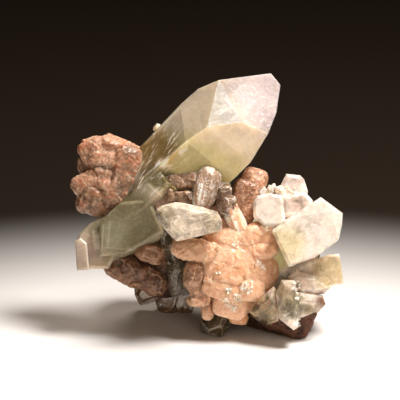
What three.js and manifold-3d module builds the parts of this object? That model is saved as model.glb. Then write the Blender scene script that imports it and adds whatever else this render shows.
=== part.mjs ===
/**
 * Apophyllite cluster: green-white apophyllite crystals and peach stilbite on a scrap of brown matrix.
 *
 * Every crystal, blade and rock is a convex solid bounded by flat faces. Solids of one mineral that
 * grew into each other are joined, and a mineral that grew round another is cut by it, with a hair
 * gap. They are described from the front: x to the right, y up and z towards the viewer, in
 * millimetres, with the origin where the front foot of the matrix meets the ground. The whole
 * cluster is then leant back onto its feet, so that +Z is up.
 */
import * as THREE from 'three';
import { ConvexGeometry } from 'three/addons/geometries/ConvexGeometry.js';
import { mergeVertices } from 'three/addons/utils/BufferGeometryUtils.js';
import Module from 'manifold-3d';

const wasm = await Module();
wasm.setup();

// Driving dimensions, in millimetres and degrees.
const GAP = 0.3;
const LEAN_BACK = 14;
const HOME = { x: -0.85, y: 17.88, z: 0 };
const SAME_POINT = 1e-4;
const BLUNT_SHOULDER = 0.22;
const ROSETTE_CORE = 0.82;

const degrees = THREE.MathUtils.degToRad;
const OUT = new THREE.Vector3(0, 0, 1);
const DOWN = new THREE.Vector3(0, -Math.cos(degrees(LEAN_BACK)), -Math.sin(degrees(LEAN_BACK)));
const GROUND = plane(DOWN, at(0, 0, 0));

const FINISH = {
  apophyllite: { color: 0xc9bd95, roughness: 0.18, metalness: 0 },
  stilbite: { color: 0xc98f66, roughness: 0.5, metalness: 0 },
  matrix: { color: 0x4a2f22, roughness: 0.9, metalness: 0 },
};

/** A point or direction, seen from the front. */
function at(x, y, z) {
  return new THREE.Vector3(x, y, z);
}

/** The same small wobble between -1 and 1 for the same whole number. */
function wobble(seed) {
  const wave = Math.sin(seed * 12.9898 + 4.1) * 43758.5453;
  return 2 * (wave - Math.floor(wave)) - 1;
}

// ---------------------------------------------------------------------------
// Flat faces
// ---------------------------------------------------------------------------

/** A face with its outward direction and a point on it. */
function plane(outward, point) {
  return new THREE.Plane().setFromNormalAndCoplanarPoint(outward.clone().normalize(), point);
}

/** A face through three points that looks away from the heart of its solid. */
function faceThrough(heart, a, b, c) {
  const outward = b.clone().sub(a).cross(c.clone().sub(a));
  if (outward.dot(heart.clone().sub(a)) > 0) {
    outward.negate();
  }
  return plane(outward, a);
}

/** A side face that starts at the edge a-b and leans inwards as it runs to the back. */
function rimFace(heart, a, b, lean) {
  const along = b.clone().sub(a).setZ(0).normalize();
  const aside = at(along.y, -along.x, 0);
  if (aside.dot(heart.clone().sub(a)) > 0) {
    aside.negate();
  }
  const inwards = aside.multiplyScalar(-Math.sin(degrees(lean)));
  const backwards = OUT.clone().multiplyScalar(-Math.cos(degrees(lean)));
  return faceThrough(heart, a, b, a.clone().add(inwards).add(backwards));
}

/** The corners where three of the faces meet inside all the others. */
function corners(faces) {
  const found = [];
  for (let i = 0; i < faces.length; i += 1) {
    for (let j = i + 1; j < faces.length; j += 1) {
      for (let k = j + 1; k < faces.length; k += 1) {
        const corner = meeting(faces[i], faces[j], faces[k]);
        const inside = corner && faces.every((face) => face.distanceToPoint(corner) < SAME_POINT);
        if (inside && found.every((other) => other.distanceTo(corner) > SAME_POINT)) {
          found.push(corner);
        }
      }
    }
  }
  return found;
}

/** The point that three faces share, or null when two of them are parallel. */
function meeting(first, second, third) {
  const cross = second.normal.clone().cross(third.normal);
  const spread = first.normal.dot(cross);
  if (Math.abs(spread) < SAME_POINT) {
    return null;
  }
  return cross.multiplyScalar(-first.constant)
    .addScaledVector(third.normal.clone().cross(first.normal), -second.constant)
    .addScaledVector(first.normal.clone().cross(second.normal), -third.constant)
    .divideScalar(spread);
}

/** A convex solid from its faces, each pushed outwards by `swell`. */
function solidFrom(faces, swell = 0) {
  const pushed = faces.map((face) => new THREE.Plane(face.normal, face.constant - swell));
  const geometry = new ConvexGeometry(corners(pushed));
  geometry.deleteAttribute('normal');
  const merged = mergeVertices(geometry, SAME_POINT);
  return new wasm.Manifold(new wasm.Mesh({
    numProp: 3,
    vertProperties: new Float32Array(merged.attributes.position.array),
    triVerts: new Uint32Array(merged.index.array),
  }));
}

// ---------------------------------------------------------------------------
// Crystal forms: each returns the list of faces of one convex solid
// ---------------------------------------------------------------------------

/** The axis of a crystal and the two directions across it, `turn` degrees about the axis. */
function crystalAxes(foot, tip, turn) {
  const axis = tip.clone().sub(foot).normalize();
  const front = OUT.clone().addScaledVector(axis, -axis.z).normalize().applyAxisAngle(axis, degrees(turn));
  const side = axis.clone().cross(front);
  return { axis, front, side };
}

/**
 * An apophyllite crystal: a square prism from foot to tip. Four slanted faces, `slope` degrees off
 * the axis direction, cut the corners of its end from `point` millimetres below the flat tip, and
 * `bevel` takes the sharp upright edges off.
 */
function prism({ foot, tip, width, depth, turn, point, slope = 50, bevel = 0.5 }) {
  const { axis, front, side } = crystalAxes(foot, tip, turn);
  const faces = [plane(axis, tip), plane(axis.clone().negate(), foot)];
  for (const way of [-1, 1]) {
    const sideways = side.clone().multiplyScalar(way);
    const forwards = front.clone().multiplyScalar(way);
    faces.push(plane(sideways, foot.clone().addScaledVector(sideways, width / 2)));
    faces.push(plane(forwards, foot.clone().addScaledVector(forwards, depth / 2)));
  }
  for (const [u, v] of [[1, 1], [1, -1], [-1, 1], [-1, -1]]) {
    const corner = side.clone().multiplyScalar(u * width / 2).addScaledVector(front, v * depth / 2);
    const across = side.clone().multiplyScalar(u).addScaledVector(front, v).normalize();
    const slanted = across.clone().multiplyScalar(Math.sin(degrees(slope)))
      .addScaledVector(axis, Math.cos(degrees(slope)));
    faces.push(plane(across, foot.clone().add(corner).addScaledVector(across, -bevel)));
    faces.push(plane(slanted, tip.clone().add(corner).addScaledVector(axis, -point)));
  }
  return faces;
}

/**
 * A blocky crystal with an outline given across its front at depth `front`, running back to `back`.
 * Its sides lean inwards by `lean` degrees, `bevel` cuts the front rim, and `yaw` and `pitch` turn
 * the front face to the right and upwards.
 */
function block({ outline, front, back, lean, bevel, yaw = 0, pitch = 0 }) {
  const rim = outline.map(([x, y]) => at(x, y, front));
  const middle = rim.reduce((sum, point) => sum.add(point), at(0, 0, 0)).divideScalar(rim.length);
  const heart = middle.clone().setZ((front + back) / 2);
  const facing = OUT.clone().applyEuler(new THREE.Euler(degrees(-pitch), degrees(yaw), 0));
  const faces = [plane(facing, middle), plane(OUT.clone().negate(), middle.clone().setZ(back))];
  rim.forEach((point, i) => {
    const next = rim[(i + 1) % rim.length];
    const side = rimFace(heart, point, next, lean);
    const slanted = side.normal.clone().add(facing);
    const inset = point.clone().addScaledVector(side.normal, -bevel);
    inset.z -= facing.dot(inset.clone().sub(middle)) / facing.z;
    faces.push(side, plane(slanted, inset));
  });
  return faces;
}

/** A stilbite blade: a flat lath with a blunt, three-faced end. */
function blade({ foot, tip, width, thick, turn }) {
  const { axis, front, side } = crystalAxes(foot, tip, turn);
  const faces = [plane(axis, tip), plane(axis.clone().negate(), foot)];
  const shoulder = width * BLUNT_SHOULDER;
  for (const sign of [-1, 1]) {
    const edge = side.clone().multiplyScalar(sign);
    const flat = front.clone().multiplyScalar(sign);
    const edgePoint = tip.clone().addScaledVector(edge, width / 2);
    faces.push(plane(edge, edgePoint));
    faces.push(plane(flat, tip.clone().addScaledVector(flat, thick / 2)));
    faces.push(plane(edge.clone().add(axis), edgePoint.clone().addScaledVector(axis, -shoulder)));
  }
  return faces;
}

/** A sheaf: stilbite blades that share a foot and spread over `fan` degrees across their flat sides. */
function sheaf({ foot, tip, width, thick, turn, count = 2, fan = 30 }) {
  const { side } = crystalAxes(foot, tip, turn);
  const reach = tip.clone().sub(foot);
  return Array.from({ length: count }, (_, i) => {
    const step = count > 1 ? i / (count - 1) - 0.5 : 0;
    const length = 1 - 0.14 * Math.abs(step) + 0.05 * wobble(i + width * 7 + reach.x);
    const leaning = reach.clone().multiplyScalar(length).applyAxisAngle(side, degrees(-fan * step));
    return blade({ foot, tip: foot.clone().add(leaning), width, thick, turn });
  });
}

/** Directions spread evenly all round, `count` of them, turned about the upright by `seed`. */
function allRound(count, seed) {
  const golden = Math.PI * (3 - Math.sqrt(5));
  return Array.from({ length: count }, (_, i) => {
    const height = 1 - 2 * (i + 0.5) / count;
    const radius = Math.sqrt(1 - height * height);
    return at(radius * Math.cos(golden * i + seed), height, radius * Math.sin(golden * i + seed));
  });
}

/** A lump: a ball with flat faces knocked off it on all sides. */
function lump({ centre, size, facets = 10, seed }) {
  return allRound(facets, seed).map((heading, i) => {
    const reach = heading.clone().multiply(size).multiplyScalar(0.9 + 0.12 * wobble(i + seed));
    return plane(heading.clone().divide(size), centre.clone().add(reach));
  });
}

/** A ball of stilbite: a round core with short, thick blades that point every way from its centre. */
function rosette({ centre, reach, width, thick, count, seed }) {
  const blades = allRound(count, seed).map((heading, i) => {
    const length = reach * (1 + 0.08 * wobble(i + seed));
    const tip = heading.multiplyScalar(length).add(centre);
    return blade({ foot: centre, tip, width, thick, turn: 60 * wobble(i + seed + 9) });
  });
  const core = ROSETTE_CORE * reach;
  return [lump({ centre, size: at(core, core, core), facets: 9, seed }), ...blades];
}

// ---------------------------------------------------------------------------
// Apophyllite
// ---------------------------------------------------------------------------

/** The large leaning crystal: two rows of front faces that meet in a bent ridge, and a broad tip face. */
function largeCrystal() {
  const heart = at(2, 68, 2);
  const ridgeLow = at(-7.4, 65.7, 14);
  const ridgeMid = at(-0.4, 70.5, 15.1);
  const ridgeTop = at(10.8, 72.2, 12.5);
  const leftRoot = at(-22.3, 64.7, 0.3);
  const leftLow = at(-9.3, 78.1, 5.4);
  const leftMid = at(-3.3, 83.4, 5.6);
  const leftTop = at(3.6, 86.2, 7.8);
  const rightRoot = at(-9.3, 54.6, 7.9);
  const rightLow = at(9.2, 54.3, 6.2);
  const rightMid = at(14.1, 59.2, 7.7);
  const rightTop = at(19, 69, 9.2);
  const tipRight = at(23, 75.6, 4.2);
  const tipCorner = at(24.4, 85.3, -5);
  const tipEnd = at(21.2, 89.3, -5.7);
  const axis = at(0.696, 0.649, 0.309);
  const nearRoot = rightLow.clone().addScaledVector(axis, -30);
  const backLean = 9;
  const rim = [
    [leftRoot, leftLow], [leftLow, leftMid], [leftMid, leftTop], [leftTop, tipEnd], [tipEnd, tipCorner],
    [tipCorner, tipRight], [tipRight, rightMid], [rightMid, rightLow], [rightLow, nearRoot],
  ];
  return [
    faceThrough(heart, leftRoot, leftLow, ridgeLow),
    faceThrough(heart, leftLow, ridgeLow, ridgeMid),
    faceThrough(heart, leftTop, ridgeMid, ridgeTop),
    faceThrough(heart, rightRoot, rightLow, ridgeLow),
    faceThrough(heart, rightLow, ridgeLow, ridgeMid),
    faceThrough(heart, rightMid, ridgeMid, ridgeTop),
    faceThrough(heart, leftTop, ridgeTop, rightTop),
    ...rim.map(([from, to]) => rimFace(heart, from, to, backLean)),
    plane(at(-0.24, 0.33, -0.95), at(6, 68.7, -9.6)),
    plane(at(0.5, -0.5, -0.73), at(10.9, 62.7, -8.2)),
    plane(at(0.55, 0.5, -0.67), tipEnd.clone().addScaledVector(OUT, -2)),
    plane(axis.clone().negate(), at(-27, 47, 5)),
  ];
}

/** The grey-green crystals at the lower left that share the large crystal's root. */
function lowerLeftCrystals() {
  const frontBlock = block({
    outline: [
      [-36.2, 39.3], [-31.6, 43.6], [-28.7, 46], [-19.1, 46.9], [-14.6, 36.1], [-27, 28.7], [-35.9, 27.7],
    ],
    front: 9, back: -12, lean: 6, bevel: 0.9, yaw: -7, pitch: -3,
  });
  const lowerBlock = block({
    outline: [[-38.5, 36.5], [-15, 37], [-15, 33], [-23.4, 29.4], [-28.1, 26.7], [-38.9, 23.2]],
    front: 4.5, back: -14, lean: 5, bevel: 1.2, yaw: -5, pitch: -24,
  });
  const plate = block({
    outline: [[-44, 33.2], [-43, 35.4], [-39.5, 39], [-30, 44], [-24, 40], [-33, 23.9], [-43.4, 23.4]],
    front: 3.2, back: -11, lean: 5, bevel: 0.8, yaw: -10,
  });
  const endStrip = block({
    outline: [[-44.2, 33.1], [-42.3, 34.2], [-40.1, 32.3], [-39.2, 23.6], [-43.5, 23.2]],
    front: 5, back: -9, lean: 3, bevel: 0.5, yaw: -16,
  });
  const root = prism({
    foot: at(-30, 36, -3), tip: at(-12, 54, 2), width: 15, depth: 17, turn: -38, point: 2,
  });
  const chip = prism({
    foot: at(-13.5, 68, -1), tip: at(-17.6, 71.2, 0.6), width: 2.4, depth: 2.4, turn: 20, point: 0.8,
    bevel: 0.2,
  });
  return [frontBlock, lowerBlock, plate, endStrip, root, chip];
}

/** The small pale crystal with two ends that lies across the front. */
function frontCrystal() {
  return [
    block({
      outline: [
        [-17.9, 40.8], [-17.3, 44.1], [-15.3, 45.4], [-11.1, 46.5], [-8.8, 46.5], [-1.7, 45], [3.5, 43.4],
        [5.1, 40.2], [5, 36.3], [0.6, 35.3], [-8.8, 33], [-10.5, 33], [-13.7, 35.9], [-15, 37.6],
      ].reverse(),
      front: 23, back: 12.5, lean: 12, bevel: 2.6, yaw: 3, pitch: 6,
    }),
  ];
}

/** The blocky crystals on the right and the clear ones under them. */
function rightCrystals() {
  const big = block({
    outline: [
      [20.5, 37.2], [24.8, 40], [35.2, 49.1], [44.4, 42.4], [44.1, 38.5], [43.1, 34.3], [41.3, 30.2],
      [35.6, 28.2], [29, 23.4], [26.9, 23.6],
    ],
    front: 14, back: -6, lean: 6, bevel: 1, yaw: 6, pitch: 4,
  });
  const white = block({
    outline: [[14.8, 41], [14.7, 46], [16, 48.2], [19.7, 49], [24.6, 48.2], [25.5, 38], [18.5, 38]],
    front: 9, back: -7, lean: 5, bevel: 1, yaw: -10, pitch: 12,
  });
  const middle = block({
    outline: [[24.6, 41], [24.6, 47.5], [28, 49], [32.2, 49.4], [34.6, 46.6], [34, 40]],
    front: 8.5, back: -8, lean: 3, bevel: 1.2, yaw: 4, pitch: 14,
  });
  const top = block({
    outline: [[23.6, 50.5], [26.1, 55.6], [31, 55.1], [32.3, 53.8], [33.6, 49.7], [32.5, 44], [25, 44]],
    front: -1, back: -13, lean: 5, bevel: 1.4, yaw: 8, pitch: 8,
  });
  const smoky = block({
    outline: [
      [27.3, 22], [30.8, 25.2], [39.8, 28.6], [43.7, 29], [44.4, 26.1], [45.4, 18.7], [38, 17.6], [27, 19.5],
    ],
    front: 4, back: -13, lean: 6, bevel: 0.8, yaw: 12, pitch: -4,
  });
  const smokyFront = block({
    outline: [[26.2, 21.5], [29, 23.2], [36, 22], [41.5, 18.2], [38.4, 15.2], [34.5, 15], [28, 16.5]],
    front: 8.5, back: -8, lean: 6, bevel: 1.8, yaw: 6, pitch: -16,
  });
  const rusty = block({
    outline: [[30, 16.5], [37.9, 15.3], [39, 12.2], [36.6, 9.3], [30, 9.8]],
    front: 7, back: -10, lean: 6, bevel: 0.6, yaw: 10, pitch: -6,
  });
  const clearLeft = block({
    outline: [[13, 9.7], [16.8, 14.5], [21.6, 18.4], [24.5, 14], [23.4, 6.6], [19.7, 5], [16.6, 5.9]],
    front: 11, back: -6, lean: 8, bevel: 2.2, yaw: -12, pitch: -14,
  });
  const clearMiddle = block({
    outline: [[22, 16.2], [23.9, 20.6], [28.4, 20.6], [30.2, 13], [29.9, 5], [28.1, 3.4], [23, 7.6]],
    front: 14.5, back: -5, lean: 7, bevel: 2, yaw: 5, pitch: -8,
  });
  const green = block({
    outline: [[28, 13.4], [35.7, 13], [35.9, 9.6], [30.4, 7.6], [28, 7.6]],
    front: 8.2, back: -8, lean: 5, bevel: 0.8, yaw: 14, pitch: -10,
  });
  const inner = block({
    outline: [[19, 12], [17, 30], [20, 45], [33, 45], [37, 30], [34, 12]],
    front: 3, back: -12, lean: 4, bevel: 1,
  });
  const crumbs = Array.from({ length: 3 }, (_, i) => {
    const foot = at(18.8 + 2.8 * i, 47 + 0.4 * i, 2 + 2 * wobble(i));
    const tip = foot.clone().add(at(1.3 * wobble(i + 20), 3.6 + 0.8 * wobble(i + 30), 1.4));
    return prism({ foot, tip, width: 3, depth: 2.6, turn: 50 * wobble(i + 40), point: 1, bevel: 0.2 });
  });
  return [
    big, white, middle, top, smoky, smokyFront, rusty, clearLeft, clearMiddle, green, inner, ...crumbs,
  ];
}

/** Low glassy crystals at the back left, which carry that side on the ground. */
function lowCrystals() {
  const lying = [
    { foot: at(-5, 20, -27), tip: at(-24.4, 13.2, -30), width: 6.4, depth: 9, turn: 12, point: 3 },
    { foot: at(-8, 24, -28), tip: at(-14.5, 8, -33), width: 8, depth: 8, turn: 35, point: 3 },
    { foot: at(-5, 22, -24), tip: at(-8.2, 8.6, -29), width: 6, depth: 7, turn: 10, point: 2.4 },
  ];
  return lying.map((form) => [...prism(form), GROUND]);
}

/** The small dark green crystal under the middle. */
function footCrystal() {
  const main = prism({
    foot: at(5, 13, -6), tip: at(1, 1.6, -3.5), width: 8.4, depth: 8, turn: 22, point: 3.4, slope: 46,
  });
  return [[...main, GROUND]];
}

/** Small grey crystals in the hollow below the pale one. */
function hollowCrystals() {
  return [
    prism({ foot: at(-9, 24, -3), tip: at(-12.6, 35.6, 7), width: 6.4, depth: 6, turn: 30, point: 2.4 }),
    prism({ foot: at(-9.6, 16, -4), tip: at(-10.6, 26.2, 3), width: 6, depth: 6, turn: 12, point: 2.2 }),
    prism({ foot: at(-6, 24, -2), tip: at(-7.2, 31.5, 4.5), width: 5, depth: 5, turn: 40, point: 2 }),
  ];
}

/** Small glassy crystals between the knob and the tall column. */
function glassyCrystals() {
  return [
    prism({ foot: at(5.4, 42, 3), tip: at(5.2, 51.6, 8), width: 4.4, depth: 4.4, turn: 25, point: 1.6 }),
    prism({ foot: at(6, 41, 5), tip: at(7.4, 47.4, 10), width: 3.6, depth: 3.6, turn: 48, point: 1.2 }),
  ];
}

/** Apophyllite crystals on the back of the cluster. */
function backCrystals() {
  return [
    prism({ foot: at(14, 34, -22), tip: at(16, 47, -37), width: 12, depth: 12, turn: 40, point: 3.4 }),
    prism({ foot: at(20, 26, -22), tip: at(31, 31, -36), width: 9, depth: 10, turn: 15, point: 3 }),
    prism({ foot: at(6, 30, -24), tip: at(3, 40, -37), width: 7, depth: 7, turn: 25, point: 2 }),
  ];
}

// ---------------------------------------------------------------------------
// Stilbite
// ---------------------------------------------------------------------------

/** The rounded mass on the left of the large crystal: an upper and a lower ball grown together. */
function leftStilbite() {
  return [
    ...rosette({ centre: at(-32.8, 59.2, -8), reach: 9.8, width: 8.6, thick: 6.4, count: 8, seed: 1 }),
    ...rosette({ centre: at(-37.4, 50, -6), reach: 8.8, width: 8, thick: 6, count: 8, seed: 5 }),
    ...sheaf({ foot: at(-33, 56, -8), tip: at(-30.4, 69.2, -6), width: 9, thick: 6.6, turn: 15, count: 1 }),
    ...sheaf({ foot: at(-33, 54, -8), tip: at(-26.4, 60, 2), width: 10, thick: 6, turn: 90, count: 1 }),
    ...sheaf({ foot: at(-34, 50, -8), tip: at(-30.4, 46, 3), width: 9, thick: 5, turn: 80, count: 1 }),
    lump({ centre: at(-29, 54, -10), size: at(9, 11, 10), seed: 4 }),
    lump({ centre: at(-26.8, 60.2, 1), size: at(5.4, 5.4, 5), facets: 8, seed: 6 }),
    lump({ centre: at(-28.6, 52.8, 1.5), size: at(5, 7.4, 6), facets: 8, seed: 8 }),
  ];
}

/** The bright central mass of stacked slabs. */
function centralMass() {
  return [
    ...rosette({ centre: at(9, 20.5, -1), reach: 11.6, width: 11, thick: 7, count: 7, seed: 2 }),
    ...rosette({ centre: at(14.5, 29, -2), reach: 9, width: 9, thick: 7, count: 5, seed: 7 }),
    ...sheaf({ foot: at(9, 21, 0), tip: at(3, 27, 12), width: 13, thick: 4.2, turn: 8, fan: 24 }),
    ...sheaf({ foot: at(9, 20, 0), tip: at(5.4, 16, 13), width: 14, thick: 6.4, turn: 4, fan: 34 }),
    ...sheaf({ foot: at(11, 21, 0), tip: at(13, 21, 13), width: 10, thick: 8, turn: 30, count: 1 }),
    ...sheaf({ foot: at(11, 26, 0), tip: at(15.5, 31, 10), width: 9, thick: 7, turn: 15, count: 1 }),
    ...sheaf({ foot: at(9, 18, 0), tip: at(8.5, 9, 8.5), width: 12, thick: 4, turn: 0, fan: 28 }),
    ...sheaf({ foot: at(8, 28, 0), tip: at(8.6, 36, 9), width: 10, thick: 7, turn: 20, count: 1 }),
    lump({ centre: at(2, 38, 1), size: at(8, 9, 7), seed: 3 }),
  ];
}

/** The tall brown column behind the central mass, with thin blades along its left. */
function tallColumn() {
  return [
    ...sheaf({ foot: at(11.5, 34, -1), tip: at(14.6, 58.2, -3), width: 8, thick: 4.6, turn: 20, fan: 10 }),
    ...sheaf({ foot: at(11, 36, 1), tip: at(16.8, 53.5, 0), width: 6, thick: 5, turn: 70, count: 1 }),
    ...sheaf({ foot: at(9.5, 34, 3), tip: at(8.8, 53.4, 2.6), width: 6, thick: 3, turn: 35, fan: 16 }),
    ...sheaf({ foot: at(12, 30, 3), tip: at(7, 45.5, 8), width: 4.4, thick: 2.6, turn: 60, fan: 22 }),
  ];
}

/** The upright knob that stands between the pale crystal and the large one. */
function knob() {
  return [
    ...sheaf({ foot: at(-0.6, 40, 4), tip: at(-0.6, 58, 13), width: 6.2, thick: 3.4, turn: 0, fan: 12 }),
    ...sheaf({ foot: at(-0.8, 40, 4), tip: at(-2.4, 56, 12.4), width: 4.4, thick: 4.4, turn: 45, count: 1 }),
    ...sheaf({ foot: at(-0.4, 40, 4), tip: at(1.6, 55.6, 12), width: 4.4, thick: 4.4, turn: -45, count: 1 }),
  ];
}

/** Brown blades at the root of the large crystal. */
function rootBlades() {
  return [
    ...sheaf({ foot: at(-3, 42, 4), tip: at(-17.5, 49.4, 9.6), width: 6.4, thick: 4, turn: 10, fan: 22 }),
    ...sheaf({ foot: at(-3, 44, 3), tip: at(-10.4, 53.4, 10.4), width: 6.6, thick: 3.4, turn: 20, fan: 22 }),
  ];
}

/** The peach blades left of the central mass and the brown ones below them. */
function lowerBlades() {
  return [
    ...sheaf({ foot: at(3, 29, 2), tip: at(-11.6, 29.6, 13), width: 7.6, thick: 3.6, turn: 10, fan: 22 }),
    ...sheaf({ foot: at(2, 22, -1), tip: at(-6.4, 21.4, 7), width: 9, thick: 4, turn: 0, fan: 26 }),
    ...sheaf({ foot: at(3, 19, -2), tip: at(-4.8, 14.6, 5), width: 5, thick: 3.6, turn: 20, fan: 30 }),
    ...sheaf({ foot: at(3, 18, -2), tip: at(0.4, 8.6, 3), width: 4.6, thick: 3.4, turn: 25, fan: 26 }),
  ];
}

/** The brown blades under the left crystals. */
function underBlades() {
  return [
    ...sheaf({ foot: at(-13, 27, -10), tip: at(-34.4, 22.6, -4), width: 8, thick: 4.4, turn: 10, fan: 20 }),
    ...sheaf({ foot: at(-13, 25, -10), tip: at(-25.4, 17.4, -4), width: 9, thick: 4.4, turn: 10, fan: 20 }),
    ...sheaf({ foot: at(-12, 27, -8), tip: at(-19.6, 27, 4), width: 8, thick: 4, turn: 20, fan: 24 }),
    ...sheaf({ foot: at(-12, 25, -12), tip: at(-16, 16, -14), width: 10, thick: 4.4, turn: 20, fan: 30 }),
  ];
}

/** Sheaves that cover the back, from the left to the top of the matrix. */
function backStilbite() {
  return [
    ...rosette({ centre: at(-13, 38, -22), reach: 11.5, width: 9.6, thick: 7, count: 6, seed: 3 }),
    ...rosette({ centre: at(1, 44, -19), reach: 8.5, width: 8, thick: 6, count: 5, seed: 11 }),
    ...rosette({ centre: at(-21, 29, -22), reach: 8, width: 8, thick: 6, count: 5, seed: 8 }),
  ];
}

// ---------------------------------------------------------------------------
// Matrix
// ---------------------------------------------------------------------------

/** The scrap of brown rock that carries the cluster, flat where it stands. */
function matrixRock() {
  const lumps = [
    { centre: at(24.6, 11, -13), size: at(11.5, 12.5, 14), seed: 2 },
    { centre: at(8, 25, -17), size: at(19, 16, 15), seed: 6 },
    { centre: at(-7, 27, -20), size: at(15, 12, 14), seed: 4 },
    { centre: at(24, 27, -15), size: at(13, 14, 13), seed: 9 },
  ];
  const front = block({
    outline: [
      [12, 7.9], [12, 20], [36, 20], [35.7, 8.5], [34, 4.7], [30.9, 0.1], [28.3, -0.1], [23.7, 0.3],
      [20, 3.4], [16.3, 4],
    ],
    front: 0.8, back: -20, lean: 4, bevel: 1.4, pitch: -12,
  });
  return [...lumps.map((form) => [...lump(form), GROUND]), [...front, GROUND]];
}

// ---------------------------------------------------------------------------
// Assembly
// ---------------------------------------------------------------------------

const PIECES = [
  ['apophyllite_large', 'apophyllite', [largeCrystal(), ...lowerLeftCrystals()]],
  ['apophyllite_front', 'apophyllite', frontCrystal()],
  ['apophyllite_right', 'apophyllite', rightCrystals()],
  ['apophyllite_low', 'apophyllite', lowCrystals()],
  ['apophyllite_foot', 'apophyllite', footCrystal()],
  ['apophyllite_hollow', 'apophyllite', hollowCrystals()],
  ['apophyllite_glassy', 'apophyllite', glassyCrystals()],
  ['apophyllite_back', 'apophyllite', backCrystals()],
  ['matrix', 'matrix', matrixRock()],
  ['stilbite_left', 'stilbite', leftStilbite()],
  ['stilbite_centre', 'stilbite', [
    ...centralMass(), ...tallColumn(), ...knob(), ...rootBlades(), ...lowerBlades(),
  ]],
  ['stilbite_under', 'stilbite', underBlades()],
  ['stilbite_back', 'stilbite', backStilbite()],
];

/** Joins convex solids, each swollen by `swell`, into one solid. */
function join(forms, swell = 0) {
  return forms.map((faces) => solidFrom(faces, swell)).reduce((sum, solid) => sum.add(solid));
}

/** The largest of the loose bodies that a cut leaves. */
function largestBody(solid) {
  return solid.decompose().reduce((best, body) => (body.volume() > best.volume() ? body : best));
}

/** A solid as a three.js mesh with its mineral's finish. */
function meshOf(solid, name, mineral) {
  const { vertProperties, triVerts } = solid.getMesh();
  const geometry = new THREE.BufferGeometry();
  geometry.setAttribute('position', new THREE.BufferAttribute(vertProperties, 3));
  geometry.setIndex(new THREE.BufferAttribute(triVerts, 1));
  const mesh = new THREE.Mesh(geometry, new THREE.MeshStandardMaterial(FINISH[mineral]));
  mesh.name = name;
  return mesh;
}

/** All the pieces, each cut back by the ones that grew before it. */
function cluster() {
  const group = new THREE.Group();
  const grown = [];
  for (const [name, mineral, forms] of PIECES) {
    const free = grown.reduce((solid, earlier) => solid.subtract(earlier), join(forms));
    group.add(meshOf(largestBody(free), name, mineral));
    grown.push(join(forms, GAP));
  }
  group.rotation.x = degrees(90 - LEAN_BACK);
  const specimen = new THREE.Group();
  specimen.add(group);
  specimen.position.set(-HOME.x, -HOME.y, -HOME.z);
  return specimen;
}

export default cluster();
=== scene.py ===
"""The looks of an apophyllite cluster: clear and milky crystals, bladed stilbite and brown rock.

Shapes and shader patterns are described from the front, in millimetres, with the cluster stood
upright: x to the right, y up and z towards the viewer. FRONT leans that back into the frame.
"""

import logging
import math
import random
from dataclasses import dataclass
from enum import Enum
from typing import Iterable, Mapping, Sequence, Union

import bmesh
import bpy
from mathutils import Euler, Matrix, Vector, kdtree, noise
from mathutils.bvhtree import BVHTree


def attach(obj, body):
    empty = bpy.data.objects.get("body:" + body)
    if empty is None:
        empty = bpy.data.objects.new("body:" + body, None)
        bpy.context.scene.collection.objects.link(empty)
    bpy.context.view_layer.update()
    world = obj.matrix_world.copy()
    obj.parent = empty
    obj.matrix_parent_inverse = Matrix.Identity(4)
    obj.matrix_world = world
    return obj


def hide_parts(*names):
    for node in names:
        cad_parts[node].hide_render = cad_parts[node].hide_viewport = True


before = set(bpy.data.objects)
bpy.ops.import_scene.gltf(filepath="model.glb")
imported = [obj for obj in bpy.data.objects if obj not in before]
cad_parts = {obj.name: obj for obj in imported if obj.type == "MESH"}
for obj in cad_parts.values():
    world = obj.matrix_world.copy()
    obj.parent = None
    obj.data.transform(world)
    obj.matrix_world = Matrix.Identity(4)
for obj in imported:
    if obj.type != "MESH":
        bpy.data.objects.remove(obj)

LOG = logging.getLogger("apophyllite_cluster")
NOISE_SEED = 4

Point = tuple[float, float, float]
Colour = tuple[float, float, float]
Operand = Union["Value", float]
Source = Union["Value", bpy.types.NodeSocket, float, Sequence[float]]

MM = 0.001
LEAN_BACK = math.radians(14)
TIP_UP = math.pi / 2 - LEAN_BACK
HOME = Vector((-0.85, 17.88, 0.0))
FRONT = Matrix.Scale(MM, 4) @ Matrix.Translation(-HOME) @ Matrix.Rotation(TIP_UP, 4, "X")
OUT = Vector((0.0, 0.0, 1.0))
UP = Vector((0.0, 1.0, 0.0))
DEPTH_WEIGHT = 0.3
DARK = (0.13, 0.10, 0.075)


class Blend(Enum):
    """Ways to mix two colours."""

    MIX = "MIX"
    MULTIPLY = "MULTIPLY"


def linear(colour: Colour) -> tuple[float, float, float, float]:
    """The scene-linear RGBA of a colour given as display values from 0 to 1."""
    return (*(c / 12.92 if c <= 0.04045 else ((c + 0.055) / 1.055) ** 2.4 for c in colour), 1.0)


# ---------------------------------------------------------------------------
# Shader maths
# ---------------------------------------------------------------------------


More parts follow.
